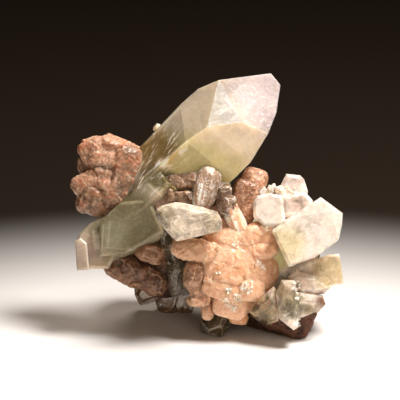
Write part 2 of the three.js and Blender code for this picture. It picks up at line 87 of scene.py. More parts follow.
class Value:
    """A number that varies over a surface: one socket of a graph, with arithmetic."""

    def __init__(self, graph: "Graph", socket: bpy.types.NodeSocket) -> None:
        """Wraps a socket of a graph."""
        self.graph = graph
        self.socket = socket

    def _math(self, operation: str, *operands: Operand) -> "Value":
        """The result of a Math node on the operands, in their order."""
        return self.graph.value("ShaderNodeMath", {"operation": operation}, dict(enumerate(operands)))

    def __add__(self, other: Operand) -> "Value":
        """This value plus another."""
        return self._math("ADD", self, other)

    __radd__ = __add__

    def __mul__(self, other: Operand) -> "Value":
        """This value times another."""
        return self._math("MULTIPLY", self, other)

    __rmul__ = __mul__

    def __sub__(self, other: Operand) -> "Value":
        """This value less another."""
        return self._math("SUBTRACT", self, other)

    def __rsub__(self, other: Operand) -> "Value":
        """Another value less this one."""
        return self._math("SUBTRACT", other, self)

    def __abs__(self) -> "Value":
        """This value without its sign."""
        return self._math("ABSOLUTE", self)

    def ramp(self, low: float, high: float, start: float = 0.0, end: float = 1.0) -> "Value":
        """A soft step from start to end while this value goes from low to high.

        Args:
            low: where the step begins.
            high: where it ends; below low for a falling step.
            start: the result before the step.
            end: the result after it.

        Returns:
            The stepped value, held at start and end outside the step.
        """
        if high < low:
            low, high, start, end = high, low, end, start
        settings = {"interpolation_type": "SMOOTHSTEP", "clamp": True}
        inputs = {"Value": self, "From Min": low, "From Max": high, "To Min": start, "To Max": end}
        return self.graph.value("ShaderNodeMapRange", settings, inputs, "Result")

    def clamped(self) -> "Value":
        """This value held between 0 and 1."""
        return self.graph.value("ShaderNodeClamp", {}, {"Value": self})


class Graph:
    """The node graph of one material."""

    def __init__(self, name: str) -> None:
        """Starts an empty material.

        Args:
            name: the material's name.
        """
        self.material = bpy.data.materials.new(name)
        self.material.use_nodes = True
        self.tree = self.material.node_tree
        self.tree.nodes.clear()
        self.place = self._place()

    def node(
        self, kind: str, settings: Mapping[str, object], inputs: Mapping[Union[str, int], Source]
    ) -> bpy.types.Node:
        """Adds a node.

        Args:
            kind: the node's type.
            settings: its own settings, which are set first.
            inputs: a value or a link for each named or numbered socket.

        Returns:
            The new node.
        """
        node = self.tree.nodes.new(kind)
        for name, setting in settings.items():
            setattr(node, name, setting)
        for key, source in inputs.items():
            if isinstance(source, Value):
                source = source.socket
            if isinstance(source, bpy.types.NodeSocket):
                self.tree.links.new(source, node.inputs[key])
            else:
                node.inputs[key].default_value = source
        return node

    def value(
        self,
        kind: str,
        settings: Mapping[str, object],
        inputs: Mapping[Union[str, int], Source],
        output: Union[str, int] = 0,
    ) -> Value:
        """Adds a node whose result is a number.

        Args:
            kind: the node's type.
            settings: its own settings, which are set first.
            inputs: a value or a link for each named or numbered socket.
            output: the name or number of the socket that holds the result.

        Returns:
            The result.
        """
        return Value(self, self.node(kind, settings, inputs).outputs[output])

    def where(self) -> bpy.types.NodeSocket:
        """Where a point of the surface is in the frame, in metres."""
        return self.node("ShaderNodeTexCoord", {}, {}).outputs["Object"]

    def _place(self) -> bpy.types.NodeSocket:
        """Where a point of the surface is, from the front, in millimetres."""
        home = Matrix.Rotation(-TIP_UP, 3, "X") @ HOME
        inputs = {0: self.where(), 1: home, 2: (-TIP_UP, 0.0, 0.0), 3: (1 / MM, 1 / MM, 1 / MM)}
        return self.node("ShaderNodeMapping", {}, inputs).outputs[0]

    def beyond(self, start: Point, direction: Vector) -> Value:
        """How far a point lies from start along a direction.

        Args:
            start: where it is measured from, from the front in millimetres.
            direction: the direction.

        Returns:
            That distance in millimetres, times the direction's own length.
        """
        settings = {"operation": "DOT_PRODUCT"}
        along = self.value("ShaderNodeVectorMath", settings, {0: self.place, 1: direction}, "Value")
        return along - direction.dot(Vector(start))

    def apart(self, first: Source, second: Source) -> Value:
        """The distance between two points."""
        return self.value("ShaderNodeVectorMath", {"operation": "DISTANCE"}, {0: first, 1: second}, "Value")

    def distance(self, centre: Point) -> Value:
        """The distance from a point, in millimetres, with less weight on how deep it lies."""
        x, y, z = centre
        return self.apart(self.stretched(self.place, (1, 1, DEPTH_WEIGHT)), (x, y, z * DEPTH_WEIGHT))

    def stretched(
        self, vector: bpy.types.NodeSocket, scale: Point, turn: Point = (0, 0, 0)
    ) -> bpy.types.NodeSocket:
        """Turns a vector and then scales it.

        Args:
            vector: the vector.
            scale: the scale along each of its axes.
            turn: degrees by which it is turned about each of them.

        Returns:
            The turned and scaled vector.
        """
        angles = [math.radians(angle) for angle in turn]
        turned = self.node("ShaderNodeMapping", {}, {0: vector, 2: angles}).outputs[0]
        return self.node("ShaderNodeMapping", {}, {0: turned, 3: scale}).outputs[0]

    def noise(
        self, vector: bpy.types.NodeSocket, size: float, detail: float = 2.0, warp: float = 0.0
    ) -> Value:
        """Cloudy noise from 0 to 1.

        Args:
            vector: the coordinates that it is read at.
            size: how large its clouds are, in the coordinates' own unit.
            detail: how many finer layers it has.
            warp: how much it is twisted.

        Returns:
            The noise.
        """
        inputs = {"Vector": vector, "Scale": 1 / size, "Detail": detail, "Distortion": warp}
        return self.value("ShaderNodeTexNoise", {}, inputs, "Fac")

    def cells(self, vector: bpy.types.NodeSocket, size: float) -> Value:
        """The distance to the nearest of scattered points."""
        return self.value("ShaderNodeTexVoronoi", {}, {"Vector": vector, "Scale": 1 / size}, "Distance")

    def stored_vector(self, name: str) -> bpy.types.NodeSocket:
        """A vector that is stored on the mesh."""
        return self.node("ShaderNodeAttribute", {"attribute_name": name}, {}).outputs["Vector"]

    def stored(self, name: str) -> tuple[Value, Value, Value]:
        """The three numbers of a vector that is stored on the mesh."""
        parts = self.node("ShaderNodeSeparateXYZ", {}, {0: self.stored_vector(name)}).outputs
        return Value(self, parts[0]), Value(self, parts[1]), Value(self, parts[2])

    def crest(self) -> Value:
        """How much the surface bulges: near 0.5 where it is flat and more on a crest."""
        return self.value("ShaderNodeNewGeometry", {}, {}, "Pointiness")

    def blend(
        self, share: Operand, first: Source, second: Source, way: Blend = Blend.MIX
    ) -> bpy.types.NodeSocket:
        """Mixes two colours: the first where share is 0, the second where it is 1."""
        settings = {"data_type": "RGBA", "blend_type": way.value}
        return self.node("ShaderNodeMix", settings, {0: share, 6: first, 7: second}).outputs[2]

    def bump(self, height: Value, depth: float, under: Source | None = None) -> bpy.types.NodeSocket:
        """Makes a surface look raised.

        Args:
            height: how high each point looks, from 0 to 1.
            depth: how high 1 is, in millimetres.
            under: a bump that this one lies on, if any.

        Returns:
            The normal of the raised surface.
        """
        inputs: dict[Union[str, int], Source] = {"Height": height, "Distance": depth * MM, "Strength": 1.0}
        if under is not None:
            inputs["Normal"] = under
        return self.node("ShaderNodeBump", {}, inputs).outputs[0]

    def shade(self, sockets: Mapping[str, Source]) -> bpy.types.NodeSocket:
        """A Principled shader with the given sockets."""
        return self.node("ShaderNodeBsdfPrincipled", {}, sockets).outputs[0]

    def finish(
        self, surface: bpy.types.NodeSocket, volume: bpy.types.NodeSocket | None = None
    ) -> bpy.types.Material:
        """Connects the material's output.

        Args:
            surface: the shader of its surface.
            volume: the shader of its inside, if any.

        Returns:
            The finished material.
        """
        inputs: dict[Union[str, int], Source] = {"Surface": surface}
        if volume is not None:
            inputs["Volume"] = volume
        self.node("ShaderNodeOutputMaterial", {}, inputs)
        return self.material


# ---------------------------------------------------------------------------
# Finishes
# ---------------------------------------------------------------------------


@dataclass(frozen=True)
class Zone:
    """A soft ball, drawn out in depth, in which a crystal has another tint: its own colour, and in places
    painted light and shade.

    Attributes:
        centre: its middle, from the front in millimetres.
        reach: its radius across and up, in millimetres.
        tint: the colour of the cloudy crystal in it.
        milk: how cloudy the crystal is in it, from 0, clear, to 1.
        OUTER, INNER: where its tint begins and where it is full, as shares of its reach.
        RAGGED: how far its edge follows the clouds, as a share of its reach.
    """

    centre: Point
    reach: float
    tint: Colour
    milk: float

    OUTER = 1.3
    INNER = 0.5
    RAGGED = 0.5

    def near(self, g: Graph, clouds: Value) -> Value:
        """How far a point lies in it, from 0 to 1, with an edge that follows the clouds."""
        away = g.distance(self.centre) + (clouds - 0.5) * (self.RAGGED * self.reach)
        return away.ramp(self.reach * self.OUTER, self.reach * self.INNER)


@dataclass(frozen=True)
class PhantomAndHighlight:
    """A fine line that is bright on one side: old growth faces inside a crystal, and painted highlights
    along ridges and rims and painted light on lit faces.

    Attributes:
        start: where the line starts, from the front in millimetres.
        end: where it ends; the bright side is on the left, looking from start to end.
        lift: how much brighter the bright side is.
        reach: how far the brightness reaches, in millimetres.
        FADE: how much of its length fades at each end.
        STEP: where the bright side begins and is full, in millimetres from the line.
        HAIR: half the width of the line, in millimetres.
        HAIR_SHARE: how bright the line is, as a share of the lift.
    """

    start: Point
    end: Point
    lift: float
    reach: float

    FADE = 0.06
    STEP = (-0.1, 0.12)
    HAIR = 0.5
    HAIR_SHARE = 0.9

    def light(self, g: Graph) -> tuple[Value, Value]:
        """Makes its light.

        Args:
            g: the graph of the crystal's material.

        Returns:
            The brightness that it adds beside its line, and how bright the line itself is.
        """
        line = Vector(self.end) - Vector(self.start)
        line.z = 0.0
        inside = g.beyond(self.start, line / line.length_squared)
        across = g.beyond(self.start, Vector((-line.y, line.x, 0.0)) / line.length)
        ends = inside.ramp(-self.FADE, self.FADE) * inside.ramp(1 + self.FADE, 1 - self.FADE)
        glow = across.ramp(*self.STEP) * across.ramp(self.reach, 0.0) * ends * self.lift
        hair = abs(across).ramp(self.HAIR, 0.0) * ends * abs(self.lift * self.HAIR_SHARE)
        return glow, hair


@dataclass(frozen=True)
class PaintedGlints:
    """Painted glints in fine lines along a crystal.

    Attributes:
        centre: the middle of the place that has them.
        reach: how far they reach, in millimetres.
        turn: degrees by which they are turned from upright, clockwise.
        share: how bright they are, from 0 to 1.
        GRAIN: how often they follow each other per millimetre, with few along their length.
        LIT: the part of the grain that shines.
        CORE: how much of their reach has all of them.
    """

    centre: Point
    reach: float
    turn: float
    share: float

    GRAIN = (0.8, 0.14, 0.8)
    LIT = (0.53, 0.68)
    CORE = 0.4

    def light(self, g: Graph) -> Value:
        """Makes their light.

        Args:
            g: the graph of the crystal's material.

        Returns:
            How bright they are, from 0 to 1.
        """
        along = g.stretched(g.place, self.GRAIN, (0, 0, self.turn))
        lines = g.noise(along, 1.0, 5.0, 0.6)
        near = g.distance(self.centre).ramp(self.reach, self.reach * self.CORE)
        return lines.ramp(*self.LIT) * near * self.share


@dataclass(frozen=True)
class Apophyllite:
    """Crystal that is clear in places and cloudy in others.

    Attributes:
        name: the material's name.
        tint: the colour of its cloudy parts.
        glass: the colour that the clear parts let through.
        milk: how cloudy it is, from 0 to 1.
        zones: parts of it with another tint.
        phantoms_and_highlights: old growth faces that show in it, and painted highlights and painted light
            beside fine lines.
        painted_glints: painted glints in fine lines on it.
        wisps: the size of its clouds, in millimetres.
        mottle: how uneven its brightness is.
        contrast: how much clearer some parts are than others.
        glow: how far light travels in its cloudy parts, in millimetres.
        veins: how bright its healed cracks are, from 0 to 1.
        edge_highlight: how bright the painted highlight on its bevelled edges is, from 0 to 1.
        density: how strongly it absorbs, per metre.
        uneven: how uneven its faces are; 1 is worn and 0 is flat.
        REFRACTION: its index of refraction.
        CLEAR: the scene-linear colour of its clear parts.
        GLINT: the scene-linear colour of its painted glints and highlights, and of its pale healed cracks.
        SPECKS, RIPPLES: the sizes of its fine and its coarse unevenness, in millimetres.
    """

    name: str
    tint: Colour
    glass: Colour
    milk: float
    zones: tuple[Zone, ...] = ()
    phantoms_and_highlights: tuple[PhantomAndHighlight, ...] = ()
    painted_glints: tuple[PaintedGlints, ...] = ()
    wisps: float = 6.0
    mottle: float = 0.08
    contrast: float = 0.5
    glow: float = 3.0
    veins: float = 0.3
    edge_highlight: float = 0.4
    density: float = 30.0
    uneven: float = 1.0

    REFRACTION = 1.535
    CLEAR = (0.98, 0.98, 0.95, 1.0)
    GLINT = (0.90, 0.84, 0.76, 1.0)
    SPECKS = 1.3
    RIPPLES = 2.6

    def build(self) -> bpy.types.Material:
        """Builds the material.

        Returns:
            The material.
        """
        g = Graph(self.name)
        tone, clearing, edge = g.stored("facet")
        clouds = g.noise(g.place, self.wisps, 2.0, 0.5)
        specks = g.noise(g.place, self.SPECKS, 3.0)
        tint: Source = linear(self.tint)
        milk: Operand = self.milk
        for zone in self.zones:
            near = zone.near(g, clouds)
            tint = g.blend(near, tint, linear(zone.tint))
            milk = near * (zone.milk - milk) + milk
        # Painted light and shade: each face's tone by the way it looks, with random mottling.
        light = tone + (clouds - 0.5) * (2 * self.mottle) + (specks - 0.5) * (self.mottle * self.uneven)
        cracks = abs(g.noise(g.place, self.wisps * 0.9, 3.0, 1.2) - 0.5).ramp(0.035, 0.0)
        # Painted highlight on the bevelled edges, and pale healed cracks.
        glints = edge * self.edge_highlight + cracks * self.veins
        # Growth lines, and painted highlights and painted light beside fine lines.
        for phantom in self.phantoms_and_highlights:
            glow, hair = phantom.light(g)
            light = light + glow
            glints = glints + hair
        tint = g.blend(1.0, tint, light, Blend.MULTIPLY)
        # Painted glints in fine lines.
        for streak in self.painted_glints:
            glints = streak.light(g) + glints
        glints = glints.clamped()
        tint = g.blend(glints, tint, self.GLINT)
        cloudy = ((clouds - 0.5) * self.contrast + milk - clearing + glints * 0.6).clamped()
        ripples = g.noise(g.place, self.RIPPLES, 2.0)
        relief = g.bump(specks, 0.05 * self.uneven, g.bump(ripples, 0.12 * self.uneven))
        clear = g.shade(
            {
                "Base Color": self.CLEAR,
                "Roughness": specks.ramp(0.35, 0.75, 0.02, 0.14),
                "Transmission Weight": 1.0,
                "IOR": self.REFRACTION,
                "Normal": relief,
            }
        )
        milky = g.shade(
            {
                "Base Color": tint,
                "Roughness": specks.ramp(0.3, 0.7, 0.18, 0.36),
                "Subsurface Weight": 1.0,
                "Subsurface Radius": (1.0, 0.9, 0.7),
                "Subsurface Scale": self.glow * MM,
                "IOR": self.REFRACTION,
                "Normal": relief,
            }
        )
        surface = g.node("ShaderNodeMixShader", {}, {0: cloudy, 1: clear, 2: milky}).outputs[0]
        inputs = {"Color": linear(self.glass), "Density": self.density}
        return g.finish(surface, g.node("ShaderNodeVolumeAbsorption", {}, inputs).outputs[0])


@dataclass(frozen=True)
class Stilbite:
    """Pearly, finely bladed mineral with warm rims.

    Attributes:
        name: the material's name.
        body: its main colour.
        deep: the colour of its painted shade in folds, and of its darker pillows, mostly the lower ones,
            and patches.
        pale: the colour of its painted highlights on crests and of its painted glints along fibres, and of
            its pale haze.
        rust: the colour of its speckles.
        speckle: how far the speckles come through, from 0 to 1.
        gloss: how much of it has a pearly gloss, from 0 to 1.
        fibre_glints: how bright the painted glints along its fibres are, from 0 to 1.
        strand_size: how wide they are, in millimetres.
        FIBRE: how often its fibres follow each other across, along and through the grain.
        CLOUDS, HAZE, SPECKS: the sizes of its coarse, middle and fine patches, in millimetres.
        GLOW: how far light travels in it, in millimetres.
    """

    name: str
    body: Colour
    deep: Colour
    pale: Colour
    rust: Colour
    speckle: float
    gloss: float
    fibre_glints: float = 0.35
    strand_size: float = 0.6

    FIBRE = (1.2, 0.1, 1.4)
    CLOUDS = 4.5
    HAZE = 2.2
    SPECKS = 0.9
    GLOW = 2.0

    def build(self) -> bpy.types.Material:
        """Builds the material.

        Returns:
            The material.
        """
        g = Graph(self.name)
        reach, shade, _ = g.stored("growth")
        along = g.stretched(g.stored_vector("grain"), self.FIBRE)
        fibres = g.noise(along, self.strand_size, 3.0, 0.2)
        clouds = g.noise(g.place, self.CLOUDS, 2.0)
        haze = g.noise(g.place, self.HAZE, 3.0, 0.6)
        specks = g.noise(g.place, self.SPECKS, 3.0)
        crest = g.crest()
        # Lighter and darker pillows and cloudy patches; the pillows' shades are partly painted light and
        # shade.
        colour = g.blend((clouds * 0.7 + shade * 0.5).ramp(0.3, 0.8), linear(self.deep), linear(self.body))
        rusty = (specks + reach * 0.15).ramp(0.52, 0.68) * clouds.ramp(0.35, 0.6) * self.speckle
        colour = g.blend(rusty, colour, linear(self.rust))
        # Painted shade in hollows and folds, and painted highlights on crests.
        colour = g.blend(crest.ramp(0.49, 0.42) * 0.6, colour, linear(self.deep))
        colour = g.blend(crest.ramp(0.505, 0.57) * 0.75, colour, linear(self.pale))
        colour = g.blend(haze.ramp(0.5, 0.68) * 0.45, colour, linear(self.pale))
        # Painted glints along the fibres, strongest on the lightest pillows.
        glint_share = shade.ramp(0.15, 0.85, 0.2, 1.0) * self.fibre_glints
        colour = g.blend(fibres.ramp(0.6 - 0.14 * self.fibre_glints, 0.64) * glint_share, colour, linear(self.pale))
        relief = g.bump(fibres, 0.18, g.bump(specks, 0.06))
        surface = g.shade(
            {
                "Base Color": colour,
                "Roughness": specks.ramp(0.4, 0.65, 0.5, 0.26),
                "Subsurface Weight": 1.0,
                "Subsurface Radius": (1.0, 0.65, 0.45),
                "Subsurface Scale": self.GLOW * MM,
                "Coat Weight": (specks.ramp(0.5, 0.65) * self.gloss).clamped(),
                "Coat Roughness": 0.15,
                "Normal": relief,
            }
        )
        return g.finish(surface)


@dataclass(frozen=True)
class Basalt:
    """Rough rusty-brown rock.

    Attributes:
        name: the material's name.
        dark: its main colour.
        rust: the colour of its stains.
        grit: the colour of its pale grains.
        PATCHES, GRAINS, PITS: the sizes of its stains, grains and pits, in millimetres.
    """

    name: str = "rusty_basalt"
    dark: Colour = (0.25, 0.16, 0.12)
    rust: Colour = (0.41, 0.25, 0.17)
    grit: Colour = (0.55, 0.41, 0.30)

    PATCHES = 4.0
    GRAINS = 0.8
    PITS = 1.3

    def build(self) -> bpy.types.Material:
        """Builds the material.

        Returns:
            The material.
        """
        g = Graph(self.name)
        patches = g.noise(g.place, self.PATCHES, 4.0, 0.5)
        grains = g.noise(g.place, self.GRAINS, 3.0)
        pits = g.cells(g.place, self.PITS)
        colour = g.blend(patches.ramp(0.4, 0.62), linear(self.dark), linear(self.rust))
        colour = g.blend(grains.ramp(0.58, 0.72, 0.0, 0.6), colour, linear(self.grit))
        relief = g.bump(grains, 0.5, g.bump(pits, 0.3))
        rough = grains.ramp(0.3, 0.7, 0.95, 0.55)
        return g.finish(g.shade({"Base Color": colour, "Roughness": rough, "Normal": relief}))


@dataclass(frozen=True)
class FadingFloor:
    """A pale floor that fades into the dark around it.

    Attributes:
        pale: its colour near the object.
        dark: its colour far away.
        middle: the middle of the pale part, in metres.
        near: the radius at which it begins to fade, in metres.
        far: the radius at which it is dark, in metres.
    """

    pale: Colour = (0.955, 0.935, 0.92)
    dark: Colour = DARK
    middle: Point = (0.0, -0.06, 0.0)
    near: float = 0.07
    far: float = 0.23

    def build(self) -> bpy.types.Material:
        """Builds the material.

        Returns:
            The material.
        """
        g = Graph("pale_floor")
        fade = g.apart(g.where(), self.middle).ramp(self.near, self.far)
        colour = g.blend(fade, linear(self.pale), linear(self.dark))
        return g.finish(g.shade({"Base Color": colour, "Roughness": 0.35, "Specular IOR Level": 0.3}))


# ---------------------------------------------------------------------------
# Forms
# ---------------------------------------------------------------------------


@dataclass
class Lath:
    """One blade of stilbite: a flat lath with a rounded end.

    Attributes:
        foot: the middle of its foot.
        tip: the middle of its end.
        width: its width, in millimetres.
        thick: its thickness.
        turn: degrees by which its flat side is turned from the viewer about its length.
        shade: its own lightness, from 0 to 1.
        STATIONS: how far along it each ring lies, and the ring's share of the width and thickness.
        SECTION: the corners of a ring, as shares of half its width and half its thickness.
        STEEP: how nearly it points at the viewer before its flat side is turned up instead.
        GRAIN_STEP: how far its grain is set apart from the last one's.
    """

    foot: Vector
    tip: Vector
    width: float
    thick: float
    turn: float
    shade: float = 0.5

    STATIONS = (
        (0.0, 0.8, 0.9),
        (0.3, 0.95, 1.0),
        (0.6, 1.0, 1.0),
        (0.8, 0.98, 1.0),
        (0.9, 0.86, 0.9),
        (0.97, 0.6, 0.75),
        (1.0, 0.3, 0.5),
    )
    SECTION = ((-1, -0.5), (-0.88, -1), (0.88, -1), (1, -0.5), (1, 0.5), (0.88, 1), (-0.88, 1), (-1, 0.5))
    STEEP = 0.97
    GRAIN_STEP = 3.7

    def axes(self) -> tuple[Vector, Vector, Vector]:
        """Finds its directions.

        Returns:
            The direction of its length, the one that its flat side faces, and the one across it.
        """
        axis = (self.tip - self.foot).normalized()
        facing = OUT if abs(axis.z) < self.STEEP else UP
        flat = (facing - axis * facing.dot(axis)).normalized()
        flat = Matrix.Rotation(math.radians(self.turn), 3, axis) @ flat
        return axis, flat, axis.cross(flat)

    def add_to(self, mesh: bmesh.types.BMesh, number: int) -> None:
        """Adds the lath to a mesh, with its grain and growth stored on its vertices.

        Args:
            mesh: the mesh in the making.
            number: the lath's number, which sets its grain apart.
        """
        axis, flat, side = self.axes()
        grain = mesh.verts.layers.float_vector["grain"]
        growth = mesh.verts.layers.float_vector["growth"]
        length = (self.tip - self.foot).length
        rings = []
        for at, wide, deep in self.STATIONS:
            middle = self.foot + axis * (length * at)
            ring = []
            for across, up in self.SECTION:
                spot = side * (across * wide * self.width / 2) + flat * (up * deep * self.thick / 2)
                vert = mesh.verts.new(middle + spot)
                sideways = across * self.width / 2 + number * self.GRAIN_STEP
                vert[grain] = (sideways, at * length, up * self.thick / 2)
                vert[growth] = (at, self.shade, 0.0)
                ring.append(vert)
            rings.append(ring)
        count = len(self.SECTION)
        for low, high in zip(rings, rings[1:]):
            for i in range(count):
                mesh.faces.new((low[i], low[(i + 1) % count], high[(i + 1) % count], high[i]))
        mesh.faces.new(reversed(rings[0]))
        mesh.faces.new(rings[-1])


@dataclass
class Sheaf:
    """Blades that share a foot and fan apart.

    Attributes:
        foot: their common foot, from the front in millimetres.
        tip: where the middle blade ends.
        width: the width of a blade.
        thick: its thickness.
        turn: degrees by which the flat sides are turned from the viewer.
        count: how many blades there are.
        fan: degrees over which they spread across their flat sides.
        splay: degrees over which they spread sideways.
        ragged: how much their lengths differ, as a share.
        SHORTER, NARROWER: twice how much shorter and narrower the outermost blades are.
        UNEVEN: how much their widths differ, as a share.
    """

    foot: Point
    tip: Point
    width: float
    thick: float
    turn: float
    count: int
    fan: float
    splay: float = 6.0
    ragged: float = 0.08

    SHORTER = 0.16
    NARROWER = 0.2
    UNEVEN = 0.15

    def forms(self, rng: random.Random) -> list[Lath]:
        """Makes the blades of the sheaf.

        Args:
            rng: gives their lengths, headings, widths and shades.

        Returns:
            The blades.
        """
        foot, tip = Vector(self.foot), Vector(self.tip)
        _, flat, side = Lath(foot, tip, 1, 1, self.turn).axes()
        made = []
        for i in range(self.count):
            step = i / (self.count - 1) - 0.5
            reach = (tip - foot) * (1 - self.SHORTER * abs(step) - self.ragged * rng.random())
            reach = Matrix.Rotation(math.radians(-self.fan * step), 3, side) @ reach
            reach = Matrix.Rotation(math.radians(self.splay * (rng.random() - 0.5)), 3, flat) @ reach
            wide = self.width * (1 - self.NARROWER * abs(step) - self.UNEVEN * rng.random())
            made.append(Lath(foot, foot + reach, wide, self.thick, self.turn, rng.random()))
        return made


@dataclass
class Pillow:
    """A rounded slab of stilbite whose fibres run along its second side.

    Attributes:
        centre: its middle, from the front in millimetres.
        size: half its width, height and depth.
        turn: degrees by which it is turned about x, y and z.
        square: how boxy it is: 2 for an ellipsoid, more for a slab.
        shade: its lightness, from 0 to 1: partly its own tone and partly painted light and shade, lighter
            on lit lobes and darker on shaded ones.
        SPLITS: how finely the ball that it is made from is divided.
        GRAIN_STEP: how far its grain is set apart from the last one's.
    """

    centre: Point
    size: Point
    turn: Point = (0.0, 0.0, 0.0)
    square: float = 3.0
    shade: float = 0.5

    SPLITS = 4
    GRAIN_STEP = (7.3, 0.0, 3.1)

    def forms(self, _rng: random.Random) -> list["Pillow"]:
        """The pillow itself, which draws nothing at random."""
        return [self]

    def add_to(self, mesh: bmesh.types.BMesh, number: int) -> None:
        """Adds the pillow to a mesh, with its grain and growth stored on its vertices.

        Args:
            mesh: the mesh in the making.
            number: the pillow's number, which sets its grain apart.
        """
        grain = mesh.verts.layers.float_vector["grain"]
        growth = mesh.verts.layers.float_vector["growth"]
        turned = Euler([math.radians(angle) for angle in self.turn]).to_matrix()
        apart = Vector([number * step for step in self.GRAIN_STEP])
        made = bmesh.ops.create_icosphere(mesh, subdivisions=self.SPLITS, radius=1.0)
        for vert in made["verts"]:
            ray = vert.co.normalized()
            reach = sum(abs(part) ** self.square for part in ray) ** (-1 / self.square)
            spot = Vector([part * reach * half for part, half in zip(ray, self.size)])
            vert[grain] = spot + apart
            vert[growth] = (0.5 + 0.5 * ray.y, self.shade, 0.0)
            vert.co = turned @ spot + Vector(self.centre)


@dataclass
class Burr:
    """A ball of pillows that point every way from its centre.

    Attributes:
        centre: its middle, from the front in millimetres.
        reach: its radius.
        count: how many pillows it has.
        CORE: the radius of its core, as a share of its own.
        STRAY: the most that a pillow strays from its even place, in radians.
        HALF: half the length of the shortest pillow as a share of the reach, and what others add.
        ACROSS, ALONG: a pillow's half width and half height, as shares of that half length.
        THICK: its least half thickness as such a share, and what others add.
    """

    centre: Point
    reach: float
    count: int

    CORE = 0.86
    STRAY = 0.6
    HALF = (0.34, 0.1)
    ACROSS = 1.35
    ALONG = 1.1
    THICK = (0.55, 0.3)

    def forms(self, rng: random.Random) -> list[Pillow]:
        """Makes its core and its pillows.

        Args:
            rng: gives the pillows' places, sizes and shades.

        Returns:
            The core and the pillows.
        """
        golden = math.pi * (3 - math.sqrt(5))
        core = self.reach * self.CORE
        made = [Pillow(self.centre, (core, core, core), square=2.0, shade=0.4)]
        for i in range(self.count):
            height = 1 - 2 * (i + 0.5) / self.count
            radius = math.sqrt(1 - height * height)
            angle = golden * i + rng.random() * self.STRAY
            heading = Vector((radius * math.cos(angle), height, radius * math.sin(angle)))
            half = self.reach * (self.HALF[0] + self.HALF[1] * rng.random())
            middle = Vector(self.centre) + heading * (self.reach - half)
            turn = heading.to_track_quat("Y", "Z").to_euler()
            degrees = tuple(math.degrees(part) for part in turn)
            thick = half * (self.THICK[0] + self.THICK[1] * rng.random())
            size = (half * self.ACROSS, half * self.ALONG, thick)
            made.append(Pillow(tuple(middle), size, degrees, shade=rng.random()))
        return made


Form = Union[Lath, Pillow]
Part = Union[Sheaf, Pillow, Burr]


def gathered(forms: Sequence[Form]) -> bmesh.types.BMesh:
    """Gathers forms in one mesh.

    Args:
        forms: the forms.

    Returns:
        The mesh, in millimetres, with grain and growth on its vertices.
    """
    mesh = bmesh.new()
    mesh.verts.layers.float_vector.new("grain")
    mesh.verts.layers.float_vector.new("growth")
    for number, form in enumerate(forms):
        form.add_to(mesh, number)
    return mesh


def to_object(mesh: bmesh.types.BMesh, name: str) -> bpy.types.Object:
    """Turns a mesh in the making into an object of the scene.

    Args:
        mesh: the mesh, which is freed.
        name: the object's name.

    Returns:
        The new object.
    """
    data = bpy.data.meshes.new(name)
    mesh.to_mesh(data)
    mesh.free()
    made = bpy.data.objects.new(name, data)
    bpy.context.scene.collection.objects.link(made)
    return made


def remeshed(made: bpy.types.Object, voxel: float, soften: int) -> None:
    """Melts an object's mesh into one skin.

    Args:
        made: the object.
        voxel: the size of the finest detail kept, in the mesh's own unit.
        soften: how many times the skin is smoothed.
    """
    remesh = made.modifiers.new("one_skin", "REMESH")
    remesh.mode = "VOXEL"
    remesh.voxel_size = voxel
    smooth = made.modifiers.new("soften", "SMOOTH")
    smooth.factor = 0.5
    smooth.iterations = soften
    graph = bpy.context.evaluated_depsgraph_get()
    data = bpy.data.meshes.new_from_object(made.evaluated_get(graph), depsgraph=graph)
    made.modifiers.clear()
    made.data = data


def copy_vectors(source: bpy.types.Mesh, target: bpy.types.Mesh, names: Iterable[str]) -> None:
    """Copies vectors stored on a mesh's vertices to the nearest vertices of another.

    Args:
        source: the mesh that has them.
        target: the mesh that gets them.
        names: the attributes' names.
    """
    tree = kdtree.KDTree(len(source.vertices))
    for i, vert in enumerate(source.vertices):
        tree.insert(vert.co, i)
    tree.balance()
    nearest = [tree.find(vert.co)[1] for vert in target.vertices]
    for name in names:
        old = source.attributes[name].data
        new = target.attributes.new(name, "FLOAT_VECTOR", "POINT").data
        for i, j in enumerate(nearest):
            new[i].vector = old[j].vector


def push(data: bpy.types.Mesh, depths: Sequence[float]) -> None:
    """Moves each vertex outwards by its own depth.

    Args:
        data: the mesh.
        depths: how far each vertex moves.
    """
    moved = [vert.co + vert.normal * depth for vert, depth in zip(data.vertices, depths)]
    for vert, place in zip(data.vertices, moved):
        vert.co = place
    data.update()


def lumps(data: bpy.types.Mesh, depth: float, size: float) -> list[float]:
    """How far fractal lumps stand out at each vertex.

    Args:
        data: the mesh.
        depth: the most that they stand out.
        size: how large they are.

    Returns:
        A depth for each vertex.
    """
    smoothness, gap, layers = 0.9, 2.0, 3
    return [depth * noise.fractal(vert.co / size, smoothness, gap, layers) for vert in data.vertices]


def plates(data: bpy.types.Mesh, depth: float) -> list[float]:
    """How far the edges of thin stacked plates stand out at each vertex.

    Args:
        data: the mesh, with its grain.
        depth: the most that they stand out.

    Returns:
        A depth for each vertex.
    """
    across, along, through = 0.28, 0.16, 1.15
    made = []
    for item in data.attributes["grain"].data:
        spot = item.vector
        made.append(depth * noise.noise((spot.x * across, spot.y * along, spot.z * through)))
    return made


def ridges(data: bpy.types.Mesh, depth: float, width: float) -> list[float]:
    """How far ridges along the grain stand out at each vertex; they die out on tops and bottoms.

    Args:
        data: the mesh, with its grain.
        depth: the most that they stand out.
        width: how wide they are.

    Returns:
        A depth for each vertex.
    """
    along, fading = 0.1, 1.5
    made = []
    for vert, item in zip(data.vertices, data.attributes["grain"].data):
        spot = item.vector / width
        side = 1 - abs(vert.normal.y) ** fading
        made.append(depth * side * noise.noise((spot.x, spot.y * along, spot.z)))
    return made


